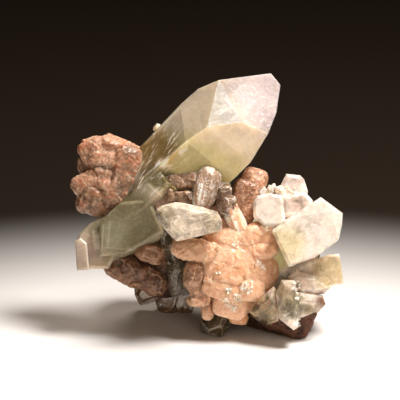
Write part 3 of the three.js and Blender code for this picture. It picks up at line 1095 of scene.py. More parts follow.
def slabs(data: bpy.types.Mesh, depth: float, size: float) -> list[float]:
    """How far the flat faces of broken slabs stand out at each vertex.

    Args:
        data: the mesh.
        depth: about how much they stand out.
        size: how large they are.

    Returns:
        A depth for each vertex.
    """
    tilt, step = 2.4, 0.6
    tilt_spread, step_spread = 9.7, 5.3
    made = []
    for vert in data.vertices:
        spot = vert.co / size
        middle = noise.voronoi(spot)[1][0]
        lean = noise.noise_vector(middle * tilt_spread)
        raised = step * noise.noise(middle * step_spread)
        made.append(depth * (lean.dot(spot - middle) * tilt + raised))
    return made


@dataclass(frozen=True)
class PaintedFacetShade:
    """Painted light and shade, and clearness, for the faces that look one way.

    Attributes:
        direction: the way they look, from the front.
        tone: the painted light and shade on them: below 1 darker, above 1 lighter, 1 leaves the tint as it
            is.
        clearing: how much clearer than the rest they are.
    """

    direction: Point
    tone: float
    clearing: float = 0.0


# Corners of a node this near each other are joined, in millimetres.
WELD = 0.002
# Edges flatter than FLAT go, and edges sharper than SHARP are bevelled and get a painted highlight; both in
# degrees.
FLAT = 0.8
SHARP = 12
# A face looks a facet's way from this cosine up.
SAME_WAY = 0.995
# How much the other faces differ in tone and in clearing.
TONES = 0.22
CLEARINGS = 0.25


def crystal_from(node: str, name: str, bevel: float, painted_facet_shades: Sequence[PaintedFacetShade]) -> bpy.types.Object:
    """A crystal piece on a node's own form, with its edges taken off.

    Each face keeps its painted light and shade, its clearing and whether it is a bevelled edge, which gets
    a painted highlight.

    Args:
        node: the CAD node.
        name: the piece's name.
        bevel: the width of the bevelled edges, in millimetres.
        painted_facet_shades: faces with painted light and shade of their own; the others get a random tone.

    Returns:
        The piece, in place.
    """
    mesh = bmesh.new()
    mesh.from_mesh(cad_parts[node].data)
    bmesh.ops.remove_doubles(mesh, verts=mesh.verts, dist=WELD * MM)
    bmesh.ops.dissolve_limit(mesh, angle_limit=math.radians(FLAT), verts=mesh.verts, edges=mesh.edges)
    layer = mesh.faces.layers.float_vector.new("facet")
    upright = Matrix.Rotation(-TIP_UP, 3, "X")
    mesh.normal_update()
    # Painted light and shade on each face by the way it looks; faces without their own get a random tone.
    for face in mesh.faces:
        normal = upright @ face.normal
        own = [f for f in painted_facet_shades if normal.dot(Vector(f.direction).normalized()) > SAME_WAY]
        chance = noise.noise(normal * 6.0 + Vector((3.1, 0.7, 5.3)))
        look = (own[0].tone, own[0].clearing) if own else (1 + TONES * chance, CLEARINGS * chance)
        face[layer] = (*look, 0)
    sharp = [e for e in mesh.edges if e.is_manifold and e.calc_face_angle_signed() > math.radians(SHARP)]
    edge_highlight = bmesh.ops.bevel(
        mesh,
        geom=sharp,
        offset=bevel * MM,
        segments=1,
        profile=0.6,
        affect="EDGES",
        clamp_overlap=True,
    )
    # The bevelled faces are marked for a painted highlight.
    for face in edge_highlight["faces"]:
        face[layer] = (face[layer][0], face[layer][1], 1.0)
    bmesh.ops.triangulate(mesh, faces=mesh.faces)
    mesh.verts.index_update()
    ordered = sorted(mesh.faces, key=lambda face: sorted(vert.index for vert in face.verts))
    for i, face in enumerate(ordered):
        face.index = i
    mesh.faces.sort()
    return to_object(mesh, name)


def dress(piece: bpy.types.Object, material: bpy.types.Material, slot: str, *nodes: str) -> None:
    """Gives a piece its material and its place in the frame.

    Args:
        piece: the piece.
        material: its material.
        slot: the record's material slot; not used.
        nodes: the CAD nodes that it stands for, if any.
    """
    piece.data.materials.clear()
    piece.data.materials.append(material)
    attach(piece, "root")
    if nodes:
        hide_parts(*nodes)
    LOG.info("%s: %d faces", piece.name, len(piece.data.polygons))


# ---------------------------------------------------------------------------
# Apophyllite
# ---------------------------------------------------------------------------


@dataclass
class Crystals:
    """A group of apophyllite crystals on the form of a node.

    Attributes:
        node: the CAD node.
        slot: the record's material slot.
        finish: how it looks.
        bevel: the width of its bevelled edges, which get a painted highlight, in millimetres.
        painted_facet_shades: faces with painted light and shade of their own.
    """

    node: str
    slot: str
    finish: Apophyllite
    bevel: float = 0.22
    painted_facet_shades: tuple[PaintedFacetShade, ...] = ()

    def build(self) -> None:
        """Builds and dresses the piece."""
        piece = crystal_from(self.node, self.node + "_crystals", self.bevel, self.painted_facet_shades)
        dress(piece, self.finish.build(), self.slot, self.node)


LARGE = Crystals(
    "apophyllite_large",
    "apophyllite_green",
    Apophyllite(
        name="green_to_white_apophyllite",
        tint=(0.89, 0.81, 0.71),
        glass=(0.90, 0.86, 0.66),
        milk=0.92,
        # Partly the crystal's own colour, green at the root and white at the tip, and partly painted light:
        # whiter towards the lit upper right, greener where light passes through more of it.
        zones=(
            Zone((6, 66, 12), 18, (0.92, 0.84, 0.72), 0.92),
            Zone((4, 54, 12), 10, (0.86, 0.79, 0.56), 0.90),
            Zone((-7, 57, 8), 12, (0.80, 0.74, 0.50), 0.85),
            Zone((-17, 63, 5), 8, (0.80, 0.67, 0.42), 0.7),
            Zone((-16.8, 53.6, 6), 5, (0.55, 0.50, 0.36), 0.75),
            Zone((-12.4, 52.8, 6), 3.4, (0.42, 0.36, 0.18), 0.6),
            Zone((-14.8, 58.8, 8), 2.0, (0.94, 0.86, 0.73), 0.95),
            Zone((-27, 38, 6), 16, (0.55, 0.51, 0.39), 0.7),
            Zone((-31, 36, 6), 5, (0.62, 0.59, 0.48), 0.75),
            Zone((-42, 29, 2), 7, (0.78, 0.71, 0.65), 0.85),
            Zone((20, 82, 2), 15, (0.90, 0.82, 0.80), 0.9),
        ),
        # Growth lines in the lower-left crystal; lighter and darker steps across the upper faces, partly
        # growth and partly painted light and shade on the lit tip; the last three are painted highlights
        # along the upper left rim and the ridges near the root.
        phantoms_and_highlights=(
            PhantomAndHighlight((-35.2, 29.6, 9), (-34.3, 38.6, 9), 0.20, 2.0),
            PhantomAndHighlight((-33.0, 31.0, 9), (-32.2, 39.8, 9), 0.20, 2.0),
            PhantomAndHighlight((-34.0, 31.0, 9), (-22.0, 30.0, 9), 0.16, 3.0),
            PhantomAndHighlight((5.4, 80.0, 12), (14.6, 69.2, 12), 0.17, 26.0),
            PhantomAndHighlight((-0.1, 70.4, 14), (10.4, 62.1, 14), 0.12, 9.0),
            PhantomAndHighlight((-6.6, 65.7, 12), (4.4, 56.6, 12), 0.14, 8.0),
            PhantomAndHighlight((11.4, 72.4, 14), (-0.1, 70.4, 14), 0.06, 5.0),
            PhantomAndHighlight((-3.6, 78.0, 10), (-1.5, 66.0, 14), -0.10, 4.0),
            PhantomAndHighlight((-9.4, 77.3, 4), (-21.1, 65.1, 4), 0.45, 1.4),
            PhantomAndHighlight((-7.0, 65.9, 9), (-21.6, 54.0, 9), 0.40, 2.4),
            PhantomAndHighlight((-20.0, 52.0, 9), (-14.0, 46.5, 9), 0.35, 1.6),
        ),
        painted_glints=(
            PaintedGlints((-15, 64, 8), 11, 44, 1.0),
            PaintedGlints((-19, 55, 6), 9, 42, 1.0),
            PaintedGlints((12, 76, 8), 16, 60, 0.25),
        ),
        wisps=9.0,
        mottle=0.09,
        contrast=0.4,
        glow=4.0,
        veins=0.08,
        density=15.0,
        uneven=0.3,
    ),
    bevel=0.34,
    # Painted light and shade by face direction: upward faces, where the key lamp falls, are darkened and
    # the lower faces lightened.
    painted_facet_shades=(
        PaintedFacetShade((-0.64, 0.37, 0.67), 0.95, 0.4),
        PaintedFacetShade((-0.44, 0.47, 0.77), 0.80, 0.2),
        PaintedFacetShade((0.15, 0.38, 0.91), 0.43),
        PaintedFacetShade((0.07, -0.49, 0.87), 1.06),
        PaintedFacetShade((0.14, -0.41, 0.90), 1.05),
        PaintedFacetShade((0.26, -0.28, 0.93), 0.88),
        PaintedFacetShade((0.48, 0.49, 0.72), 0.60),
    ),
)
FRONT_CRYSTAL = Crystals(
    "apophyllite_front",
    "apophyllite_pale",
    Apophyllite(
        name="pale_apophyllite",
        tint=(0.85, 0.78, 0.69),
        glass=(0.92, 0.90, 0.80),
        milk=0.68,
        zones=(
            Zone((-13.5, 41, 20), 4.0, (0.72, 0.65, 0.53), 0.45),
            Zone((0, 40, 20), 4.0, (0.78, 0.71, 0.60), 0.5),
            # A milkier top, its tint lowered as painted shade where the key lamp falls on the top faces.
            Zone((-8, 45, 18), 4.0, (0.84, 0.77, 0.69), 0.85),
        ),
        painted_glints=(PaintedGlints((-6, 43, 20), 10, 82, 0.8),),
        wisps=3.0,
        mottle=0.16,
        contrast=1.5,
        glow=2.0,
        veins=0.45,
    ),
)
RIGHT = Crystals(
    "apophyllite_right",
    "apophyllite_white",
    Apophyllite(
        name="white_and_smoky_apophyllite",
        tint=(0.94, 0.88, 0.83),
        glass=(0.94, 0.88, 0.76),
        milk=0.85,
        wisps=4.0,
        zones=(
            Zone((25.5, 32, 8), 7, (0.90, 0.83, 0.67), 0.85),
            Zone((23.4, 26.4, 2), 3.6, (1.0, 0.94, 0.70), 0.95),
            Zone((40, 23, 0), 7, (0.86, 0.77, 0.61), 0.7),
            Zone((31, 19, 0), 4, (0.90, 0.79, 0.69), 0.75),
            Zone((18, 10, 6), 6.5, (0.76, 0.67, 0.49), 0.3),
            Zone((27, 12, 6), 5.0, (0.78, 0.72, 0.57), 0.2),
            # Partly the crystal's own grey-olive colour, partly painted shade on the upward face where the
            # key lamp falls.
            Zone((25.0, 17.6, 4), 5.0, (0.72, 0.62, 0.46), 0.55),
            Zone((29.4, 3.6, 6), 2.4, (0.95, 0.91, 0.83), 0.85),
            Zone((33.4, 10.6, 0), 3.4, (0.60, 0.50, 0.31), 0.5),
            Zone((38, 13.4, 0), 3.8, (0.50, 0.36, 0.26), 0.95),
            Zone((28, 53, -6), 5, (0.92, 0.84, 0.79), 0.75),
            Zone((29, 45, 2), 4, (0.86, 0.76, 0.70), 0.65),
        ),
        phantoms_and_highlights=(
            PhantomAndHighlight((40.0, 45.0, 6), (43.5, 30.0, 6), 0.12, 3.0),
            PhantomAndHighlight((26.0, 41.0, 8), (40.0, 43.0, 8), 0.14, 2.0),
            PhantomAndHighlight((35.0, 17.0, 6), (43.0, 18.6, 6), 0.25, 1.4),
        ),
        painted_glints=(PaintedGlints((26.4, 6.6, 6), 6, 62, 0.9),),
        mottle=0.14,
        contrast=1.1,
        glow=2.0,
        veins=0.3,
    ),
)
LOW = Crystals(
    "apophyllite_low",
    "apophyllite_glassy",
    Apophyllite(
        "smoky_low_apophyllite", (0.66, 0.50, 0.34), (0.88, 0.74, 0.54), milk=0.4, mottle=0.25, veins=0.4
    ),
)
FOOT = Crystals(
    "apophyllite_foot",
    "apophyllite_dark",
    Apophyllite(
        "dark_green_apophyllite", (0.44, 0.38, 0.25), (0.80, 0.74, 0.54), milk=0.35, mottle=0.25, edge_highlight=0.1
    ),
)
HOLLOW = Crystals(
    "apophyllite_hollow",
    "apophyllite_dark",
    Apophyllite("grey_apophyllite", (0.42, 0.37, 0.28), (0.70, 0.66, 0.54), 0.45, mottle=0.2, density=60),
)
GLASSY = Crystals(
    "apophyllite_glassy",
    "apophyllite_glassy",
    Apophyllite(
        "small_clear_apophyllite", (0.62, 0.50, 0.40), (0.86, 0.76, 0.64), milk=0.35, mottle=0.3, veins=0.9
    ),
)
BACK = Crystals(
    "apophyllite_back",
    "apophyllite_pale",
    Apophyllite("pale_back_apophyllite", (0.82, 0.78, 0.66), (0.88, 0.88, 0.72), 0.75, mottle=0.1),
)


# ---------------------------------------------------------------------------
# Stilbite
# ---------------------------------------------------------------------------


@dataclass
class Mass:
    """Stilbite that has grown into one body.

    Attributes:
        name: the piece's name.
        node: the CAD node that it stands for.
        slot: the record's material slot.
        finish: how it looks.
        parts: the slabs, sheaves and balls that it grew from.
        seed: sets the random shades and sizes in its sheaves and balls.
        voxel: the size of its finest detail, in millimetres.
        soften: how many times its surface is smoothed.
        plate: how far the edges of its plates stand out, in millimetres.
        ridge: how far the ridges along its fibres stand out.
        slab: how far its broken slabs stand out.
        slab_size: how large the slabs are.
        chip: how far the small flakes on the slabs stand out.
        chip_size: how large the flakes are.
        RIDGE_WIDTH: how wide the ridges are, in millimetres.
        LUMP, LUMP_SIZE: how far its fine lumps stand out and how large they are.
    """

    name: str
    node: str
    slot: str
    finish: Stilbite
    parts: tuple[Part, ...]
    seed: int
    voxel: float = 0.28
    soften: int = 12
    plate: float = 0.35
    ridge: float = 0.0
    slab: float = 0.8
    slab_size: float = 4.4
    chip: float = 0.22
    chip_size: float = 1.5

    RIDGE_WIDTH = 0.7
    LUMP = 0.1
    LUMP_SIZE = 1.2

    def build(self) -> None:
        """Builds and dresses the piece."""
        rng = random.Random(self.seed)
        forms = [form for part in self.parts for form in part.forms(rng)]
        mesh = gathered(forms)
        source = bpy.data.meshes.new(self.name + "_forms")
        mesh.to_mesh(source)
        piece = to_object(mesh, self.name)
        remeshed(piece, self.voxel, self.soften)
        data = piece.data
        copy_vectors(source, data, ("grain", "growth"))
        bpy.data.meshes.remove(source)
        push(data, slabs(data, self.slab, self.slab_size))
        push(data, slabs(data, self.chip, self.chip_size))
        push(data, plates(data, self.plate))
        push(data, ridges(data, self.ridge, self.RIDGE_WIDTH))
        push(data, lumps(data, self.LUMP, self.LUMP_SIZE))
        data.transform(FRONT)
        data.shade_smooth()
        dress(piece, self.finish.build(), self.slot, self.node)


PEACH = Stilbite(
    "peach_stilbite",
    body=(0.92, 0.74, 0.60),
    deep=(0.78, 0.55, 0.38),
    pale=(0.97, 0.84, 0.73),
    rust=(0.84, 0.58, 0.42),
    speckle=0.25,
    gloss=0.8,
)
ROSY = Stilbite(
    "rosy_stilbite",
    body=(0.70, 0.53, 0.41),
    deep=(0.47, 0.35, 0.25),
    pale=(0.86, 0.72, 0.62),
    rust=(0.76, 0.44, 0.29),
    speckle=0.6,
    gloss=0.5,
    fibre_glints=0.6,
    strand_size=0.8,
)
# A darker copy of the stilbite for the root blades between the crystals: partly their own browner colour,
# partly painted shade.
BROWN = Stilbite(
    "brown_stilbite",
    body=(0.60, 0.47, 0.37),
    deep=(0.42, 0.31, 0.22),
    pale=(0.74, 0.62, 0.52),
    rust=(0.52, 0.37, 0.27),
    speckle=0.3,
    gloss=0.4,
)
TAN = Stilbite(
    "tan_stilbite",
    body=(0.73, 0.53, 0.40),
    deep=(0.54, 0.36, 0.24),
    pale=(0.92, 0.77, 0.65),
    rust=(0.64, 0.38, 0.25),
    speckle=0.3,
    gloss=0.9,
    fibre_glints=0.6,
    strand_size=0.6,
)
PEARLY = Stilbite(
    "pearly_stilbite",
    body=(0.92, 0.73, 0.58),
    deep=(0.78, 0.53, 0.38),
    pale=(1.0, 0.95, 0.90),
    rust=(0.84, 0.58, 0.42),
    speckle=0.2,
    gloss=1.0,
    fibre_glints=1.0,
    strand_size=0.8,
)
GLINTING = Stilbite(
    "glinting_stilbite",
    body=(0.74, 0.59, 0.47),
    deep=(0.56, 0.43, 0.32),
    pale=(1.0, 0.99, 0.96),
    rust=(0.56, 0.41, 0.31),
    speckle=0.1,
    gloss=0.3,
    fibre_glints=1.0,
    strand_size=0.9,
)
# A darker copy of the stilbite for the blades under the overhang: partly their own browner colour, partly
# painted shade.
DEEP_BROWN = Stilbite(
    "deep_brown_stilbite",
    body=(0.56, 0.41, 0.30),
    deep=(0.34, 0.22, 0.15),
    pale=(0.70, 0.55, 0.44),
    rust=(0.46, 0.29, 0.20),
    speckle=0.3,
    gloss=0.5,
)

LEFT_BALL = Mass(
    "stilbite_left_ball",
    "stilbite_left",
    "stilbite_rosy",
    ROSY,
    # Painted light and shade in the shades: the top lobes lighter, the lower lobes and the right lobe
    # darker.
    (
        Pillow((-33.4, 54.4, -4.4), (9.4, 12.2, 9.2), square=2.3, shade=0.3),
        Pillow((-29.4, 62.9, -2.6), (7.6, 3.8, 6.2), (10, 0, -22), 5.0, 0.95),
        Pillow((-37.6, 62.4, -2.4), (4.6, 4.8, 6.0), (0, -12, 24), 4.5, 0.6),
        Pillow((-33.6, 59.6, 0.6), (6.6, 2.8, 4.6), (-12, 0, -6), 4.0, 0.7),
        Pillow((-27.8, 56.2, 0.4), (4.8, 8.8, 5.0), (0, 16, -10), 5.0, 0.25),
        Pillow((-39.2, 52.8, -1.6), (6.4, 3.2, 6.0), (-16, 0, 30), 4.5, 0.6),
        Pillow((-34.4, 56.0, 1.4), (4.4, 1.1, 3.6), (0, 0, -16), 3.0, 0.8),
        Pillow((-33.6, 51.4, 1.4), (3.6, 2.2, 4), (0, 0, -30), 3.4, 0.6),
        Pillow((-36.8, 46.6, -1.8), (7.0, 5.4, 6.6), (0, 0, -12), 3.2, 0.1),
        Pillow((-31.0, 48.2, 0.6), (5.2, 4.6, 5.2), (0, 0, 20), 3.0, 0.15),
        Pillow((-40.6, 57.8, -3.5), (2.8, 3.6, 5), (0, 0, 8), 3.4, 0.35),
    ),
    seed=11,
    voxel=0.25,
    soften=8,
    slab=0.5,
    slab_size=6.0,
    chip=0.16,
    chip_size=2.0,
    plate=0.2,
    ridge=0.12,
)
CENTRAL_MASS = Mass(
    "stilbite_central_mass",
    "stilbite_centre",
    "stilbite_peach",
    PEACH,
    (
        Pillow((10, 22, -3), (11.5, 13.5, 9.0), square=2.6, shade=0.4),
        Pillow((6, 37, 0), (8, 8, 6), square=2.4, shade=0.3),
        Pillow((5.4, 25.2, 5.4), (7.2, 7.8, 5.2), (-8, -8, 4), 3.2, 0.75),
        Pillow((6.8, 22.4, 9.4), (4.9, 3.2, 1.9), (-8, 0, -14), 5.0, 0.35),
        Pillow((12.6, 24.6, 5.8), (2.6, 7.2, 3.8), (0, 12, 18), 4.0, 0.8),
        Pillow((4.4, 17.8, 5.8), (6.6, 3.6, 5.0), (8, -6, -19), 4.0, 0.5),
        Pillow((7.4, 12.0, 2.8), (6.0, 4.2, 4.8), (14, 0, -13), 3.6, 1.0),
        Pillow((10.2, 7.4, 0.8), (3.2, 2.1, 3.4), (0, 0, -10), 3.0, 0.1),
        Pillow((7.6, 32.4, 4.2), (6.4, 5.6, 5.0), (-10, 0, 16), 2.6, 0.8),
        Pillow((13.8, 34.4, 4.2), (5.8, 3.6, 5.0), (0, 0, 38), 3.2, 0.65),
        Pillow((20.4, 38.4, 5.4), (4.6, 2.0, 4.0), (0, 0, 16), 3.0, 0.6),
        Pillow((19.0, 34.4, 3.6), (5.0, 4.6, 4.6), square=2.6, shade=0.45),
        Pillow((14.4, 29.0, 4.2), (4.6, 4.4, 4.8), (0, 0, 0), 3.0, 0.5),
        Pillow((18.6, 29.8, 5.4), (4.2, 2.9, 4.2), (0, 8, 14), 2.8, 0.75),
        Pillow((17.0, 22.8, 4.2), (6.0, 5.4, 5.0), (0, 18, -8), 3.2, 0.5),
        Pillow((13.8, 17.2, 5.6), (4.6, 3.8, 4.8), (6, 12, 6), 3.6, 0.8),
        Pillow((18.0, 15.6, 1.6), (4.0, 4.4, 4.0), square=3.0, shade=0.35),
    ),
    seed=5,
    slab=0.3,
    slab_size=5.6,
    chip=0.14,
    plate=0.26,
)
TALL_COLUMN = Mass(
    "stilbite_tall_column",
    "stilbite_centre",
    "stilbite_peach",
    TAN,
    (
        Pillow((14.8, 51.0, -1.4), (4.4, 6.4, 4.0), (0, 0, -16), 4.4, 0.75),
        Pillow((11.6, 45.2, 0.8), (4.2, 8.4, 3.8), (4, 6, -12), 6.0, 0.1),
        Pillow((14.2, 47.0, 0.4), (3.0, 8.2, 3.8), (0, 4, -16), 4.4, 0.95),
        Pillow((8.4, 40.4, 3.8), (3.2, 6.4, 3.6), (6, 0, 26), 3.4, 0.5),
    ),
    seed=8,
    voxel=0.2,
    soften=8,
    slab=0.08,
    chip=0.0,
    plate=0.15,
    ridge=0.28,
)
BRIGHT_BLADES = Mass(
    "stilbite_bright_blades",
    "stilbite_centre",
    "stilbite_peach",
    PEARLY,
    (
        Pillow((9.0, 40.0, 5.6), (3.0, 5.8, 2.6), (0, 0, 26), 3.0, 0.8),
        Sheaf((10.8, 33.6, 7.4), (5.6, 46.4, 7.8), 1.7, 0.9, 24, 5, 15, 6, 0.12),
        Sheaf((11.4, 34.6, 6.4), (7.8, 46.6, 6.4), 1.5, 0.9, 44, 4, 16, 6, 0.14),
    ),
    seed=12,
    voxel=0.16,
    soften=4,
    slab=0.0,
    chip=0.0,
    plate=0.1,
    ridge=0.2,
)
KNOB = Mass(
    "stilbite_knob",
    "stilbite_centre",
    "stilbite_brown",
    GLINTING,
    (
        Pillow((-1.2, 50.4, 6.8), (3.9, 7.8, 4.6), (10, 0, -13), 2.6, 0.2),
        Pillow((0.8, 50.4, 6.2), (2.8, 6.6, 4.0), (8, 0, -17), 2.8, 0.0),
        Pillow((-2.4, 49.4, 8.0), (2.5, 6.2, 3.6), (10, 0, -12), 2.8, 1.0),
    ),
    seed=3,
    voxel=0.2,
    soften=24,
    slab=0.05,
    chip=0.0,
    plate=0.05,
    ridge=0.22,
)
ROOT_BLADES = Mass(
    "stilbite_root_blades",
    "stilbite_centre",
    "stilbite_brown",
    BROWN,
    (
        Pillow((-8.0, 48.0, 2.0), (8.0, 5.6, 5.0), square=2.4, shade=0.2),
        Pillow((-14.4, 47.6, 6.6), (4.4, 2.6, 3.6), (0, -14, 24), 5.0, 0.5),
        Pillow((-8.4, 52.6, 5.8), (4.8, 2.8, 3.6), (-14, 0, 8), 5.0, 0.6),
        Pillow((-8.2, 47.4, 6.4), (4.4, 2.2, 3.4), (0, 0, -6), 5.0, 0.2),
    ),
    seed=9,
    voxel=0.25,
    soften=4,
)
LOWER_BLADES = Mass(
    "stilbite_lower_blades",
    "stilbite_centre",
    "stilbite_peach",
    Stilbite(
        "dull_peach_stilbite",
        body=(0.84, 0.66, 0.52),
        deep=(0.53, 0.38, 0.27),
        pale=(0.92, 0.77, 0.65),
        rust=(0.72, 0.48, 0.34),
        speckle=0.3,
        gloss=0.35,
    ),
    (
        Pillow((-4.4, 30.2, 7.4), (8.0, 3.6, 4.6), (0, 0, -8), 3.0, 0.8),
        Pillow((-4.4, 21.8, 4.6), (3.8, 5.4, 5.0), (0, 0, -6), 2.6, 0.15),
        Pillow((-2.8, 16.4, 4.0), (3.2, 2.8, 4.2), (0, 0, 10), 3.0, 0.2),
        Pillow((-2.6, 13.6, 3.8), (4.0, 2.0, 3.8), (0, 0, 10), 2.6, 0.5),
        Pillow((-0.4, 10.0, 2.8), (2.0, 3.2, 3.4), (0, 0, 6), 2.8, 0.4),
        Pillow((2, 22, 0), (5, 10, 5.5), square=2.4, shade=0.3),
    ),
    seed=21,
    slab=0.5,
)
UNDER_BLADES = Mass(
    "stilbite_under_blades",
    "stilbite_under",
    "stilbite_brown",
    DEEP_BROWN,
    (
        Pillow((-27.0, 23.0, -4), (7.8, 4.4, 6), (0, 0, -24), 3.4, 0.4),
        Pillow((-19.2, 29.4, 1.0), (4.8, 3.4, 4.6), (0, 0, -20), 3.0, 0.8),
        Pillow((-19.5, 19.8, -6), (5.6, 4.4, 6), (0, 0, -30), 3.0, 0.3),
        Pillow((-15, 24, -10), (6.6, 7, 6), square=2.4, shade=0.2),
        Sheaf((-13, 27, -10), (-33.4, 22.4, -4), 8, 2.0, 10, 4, 26),
    ),
    seed=31,
)
BACK_BALLS = Mass(
    "stilbite_back_balls",
    "stilbite_back",
    "stilbite_brown",
    ROSY,
    (
        Burr((-13, 38, -22), 11.3, 18),
        Burr((1, 44, -19), 8.4, 14),
        Burr((-21, 29, -22), 7.8, 12),
    ),
    seed=41,
    voxel=0.34,
)


# ---------------------------------------------------------------------------
# Druse
# ---------------------------------------------------------------------------


@dataclass(frozen=True)
class Spot:
    """A place that tiny crystals cover.

    Attributes:
        x: how far it is to the right, in millimetres.
        y: how high it is, from the front.
        reach: its radius.
        count: how many crystals it has.
    """

    x: float
    y: float
    reach: float
    count: int


@dataclass
class Druse:
    """Tiny crystals on the front of other pieces.

    Attributes:
        name: the piece's name.
        slot: the record's material slot.
        finish: how it looks.
        hosts: the names of the pieces that it grew on.
        spots: where it grew.
        small: half the width of its smallest crystals, in millimetres.
        large: half the width of its largest ones.
        seed: sets where its crystals are.
        CORNERS: the corners of a crystal, as shares of half its width.
        RIM, TIP: how high its sides end and where its point is, in the same shares.
        TILT: the most that a crystal tilts about x and y, in radians.
        TONES: how bright the darkest and the brightest are.
        AHEAD: how far in front of the cluster the search for a ground starts, in millimetres.
    """

    name: str
    slot: str
    finish: Apophyllite
    hosts: tuple[str, ...]
    spots: tuple[Spot, ...]
    small: float
    large: float
    seed: int

    CORNERS = ((-1, -1), (1, -1), (1, 1), (-1, 1))
    RIM = 0.5
    TIP = (0.2, 0.1, 1.3)
    TILT = 0.9
    TONES = (0.9, 1.0)
    AHEAD = 60.0

    def build(self) -> None:
        """Builds and dresses the piece."""
        rng = random.Random(self.seed)
        graph = bpy.context.evaluated_depsgraph_get()
        grounds = [BVHTree.FromObject(bpy.data.objects[host], graph) for host in self.hosts]
        mesh = bmesh.new()
        mesh.faces.layers.float_vector.new("facet")
        for spot in self.spots:
            for _ in range(spot.count):
                angle = rng.uniform(0, 2 * math.pi)
                away = spot.reach * math.sqrt(rng.random())
                size = rng.uniform(self.small, self.large)
                tilts = [rng.uniform(-self.TILT, self.TILT) for _ in "xy"]
                turn = Euler([*tilts, rng.uniform(0, math.pi)])
                tone = rng.uniform(*self.TONES)
                x = spot.x + away * math.cos(angle)
                y = spot.y + away * math.sin(angle)
                ground = self.nearest(grounds, Vector((x, y, self.AHEAD)))
                if ground is not None:
                    self.add_crystal(mesh, ground, turn, size, tone)
        dress(to_object(mesh, self.name), self.finish.build(), self.slot)

    def nearest(self, grounds: Sequence[BVHTree], start: Vector) -> Vector | None:
        """Finds the ground behind a point in front of the cluster.

        Args:
            grounds: the hosts.
            start: the point, from the front in millimetres.

        Returns:
            The nearest place on a host, in metres, or None where there is none.
        """
        heading = FRONT.to_3x3() @ -OUT
        origin = FRONT @ start
        hits = [ground.ray_cast(origin, heading)[0] for ground in grounds]
        found = [hit for hit in hits if hit is not None]
        return min(found, key=lambda hit: (hit - origin).length) if found else None

    def add_crystal(
        self, mesh: bmesh.types.BMesh, ground: Vector, turn: Euler, size: float, tone: float
    ) -> None:
        """Adds one four-sided crystal with a pointed end.

        Args:
            mesh: the mesh in the making.
            ground: where it grows.
            turn: how it is turned.
            size: half its width, in millimetres.
            tone: how bright it is.
        """
        place = Matrix.Translation(ground) @ (FRONT.to_3x3() @ turn.to_matrix()).to_4x4()
        foot, rim = (
            [mesh.verts.new(place @ Vector((x * size, y * size, z * size))) for x, y in self.CORNERS]
            for z in (-1, self.RIM)
        )
        tip = mesh.verts.new(place @ Vector([part * size for part in self.TIP]))
        made = [mesh.faces.new(tuple(reversed(foot)))]
        count = len(self.CORNERS)
        for i in range(count):
            j = (i + 1) % count
            made.append(mesh.faces.new((foot[i], foot[j], rim[j], rim[i])))
            made.append(mesh.faces.new((rim[i], rim[j], tip)))
        layer = mesh.faces.layers.float_vector["facet"]
        for face in made:
            face[layer] = (tone, 0.0, 0.0)


FROSTY = Apophyllite(
    "frosty_apophyllite", (1.0, 0.92, 0.84), (0.95, 0.92, 0.86), 1.0, wisps=1.5, contrast=0.2, glow=0.3
)
CENTRAL_DRUSE = Druse(
    "apophyllite_central_druse",
    "apophyllite_glassy",
    FROSTY,
    ("stilbite_central_mass", "stilbite_lower_blades", "stilbite_tall_column"),
    (
        Spot(9.3, 32.0, 1.2, 7),
        Spot(16.4, 25.7, 0.9, 6),
        Spot(18.4, 24.6, 0.7, 4),
        Spot(12.9, 17.7, 2.0, 22),
        Spot(6.7, 16.7, 1.0, 8),
        Spot(9.3, 14.6, 1.6, 18),
        Spot(6.6, 13.0, 1.7, 14),
        Spot(8.3, 11.0, 1.4, 8),
        Spot(3.2, 23.0, 1.0, 4),
        Spot(20.0, 38.6, 2.2, 10),
        Spot(10.6, 38.3, 1.0, 5),
    ),
    small=0.14,
    large=0.42,
    seed=17,
)
RIGHT_DRUSE = Druse(
    "apophyllite_right_druse",
    "apophyllite_glassy",
    FROSTY,
    ("apophyllite_right_crystals", "stilbite_central_mass", "basalt_matrix"),
    (
        Spot(29.0, 24.8, 2.0, 26),
        Spot(28.6, 18.6, 1.6, 18),
        Spot(30.4, 15.4, 2.0, 22),
        Spot(28.0, 50.6, 2.2, 10),
        Spot(21.6, 50.4, 2.6, 16),
        Spot(29.4, 5.6, 1.8, 8),
    ),
    small=0.15,
    large=0.45,
    seed=23,
)


# ---------------------------------------------------------------------------
# Matrix
# ---------------------------------------------------------------------------


@dataclass
class Rock:
    """The scrap of basalt that carries the cluster.

    Attributes:
        node: the CAD node that it stands for.
        voxel: the size of its finest detail, in millimetres.
        finish: how it looks.
        soften: how many times its surface is smoothed.
        lump: how far its lumps stand out, in millimetres.
        lump_size: how large they are.
    """

    node: str = "matrix"
    voxel: float = 0.5
    finish: Basalt = Basalt()
    soften: int = 3
    lump: float = 0.7
    lump_size: float = 3.0

    def build(self) -> None:
        """Builds and dresses the piece."""
        mesh = bmesh.new()
        mesh.from_mesh(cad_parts[self.node].data)
        mesh.transform(Matrix.Scale(1 / MM, 4))
        piece = to_object(mesh, "basalt_matrix")
        remeshed(piece, self.voxel, self.soften)
        data = piece.data
        push(data, lumps(data, self.lump, self.lump_size))
        for vert in data.vertices:
            vert.co.z = max(vert.co.z, 0.0)
        data.transform(Matrix.Scale(MM, 4))
        data.shade_smooth()
        dress(piece, self.finish.build(), "basalt", self.node)


# ---------------------------------------------------------------------------
# Studio
# ---------------------------------------------------------------------------


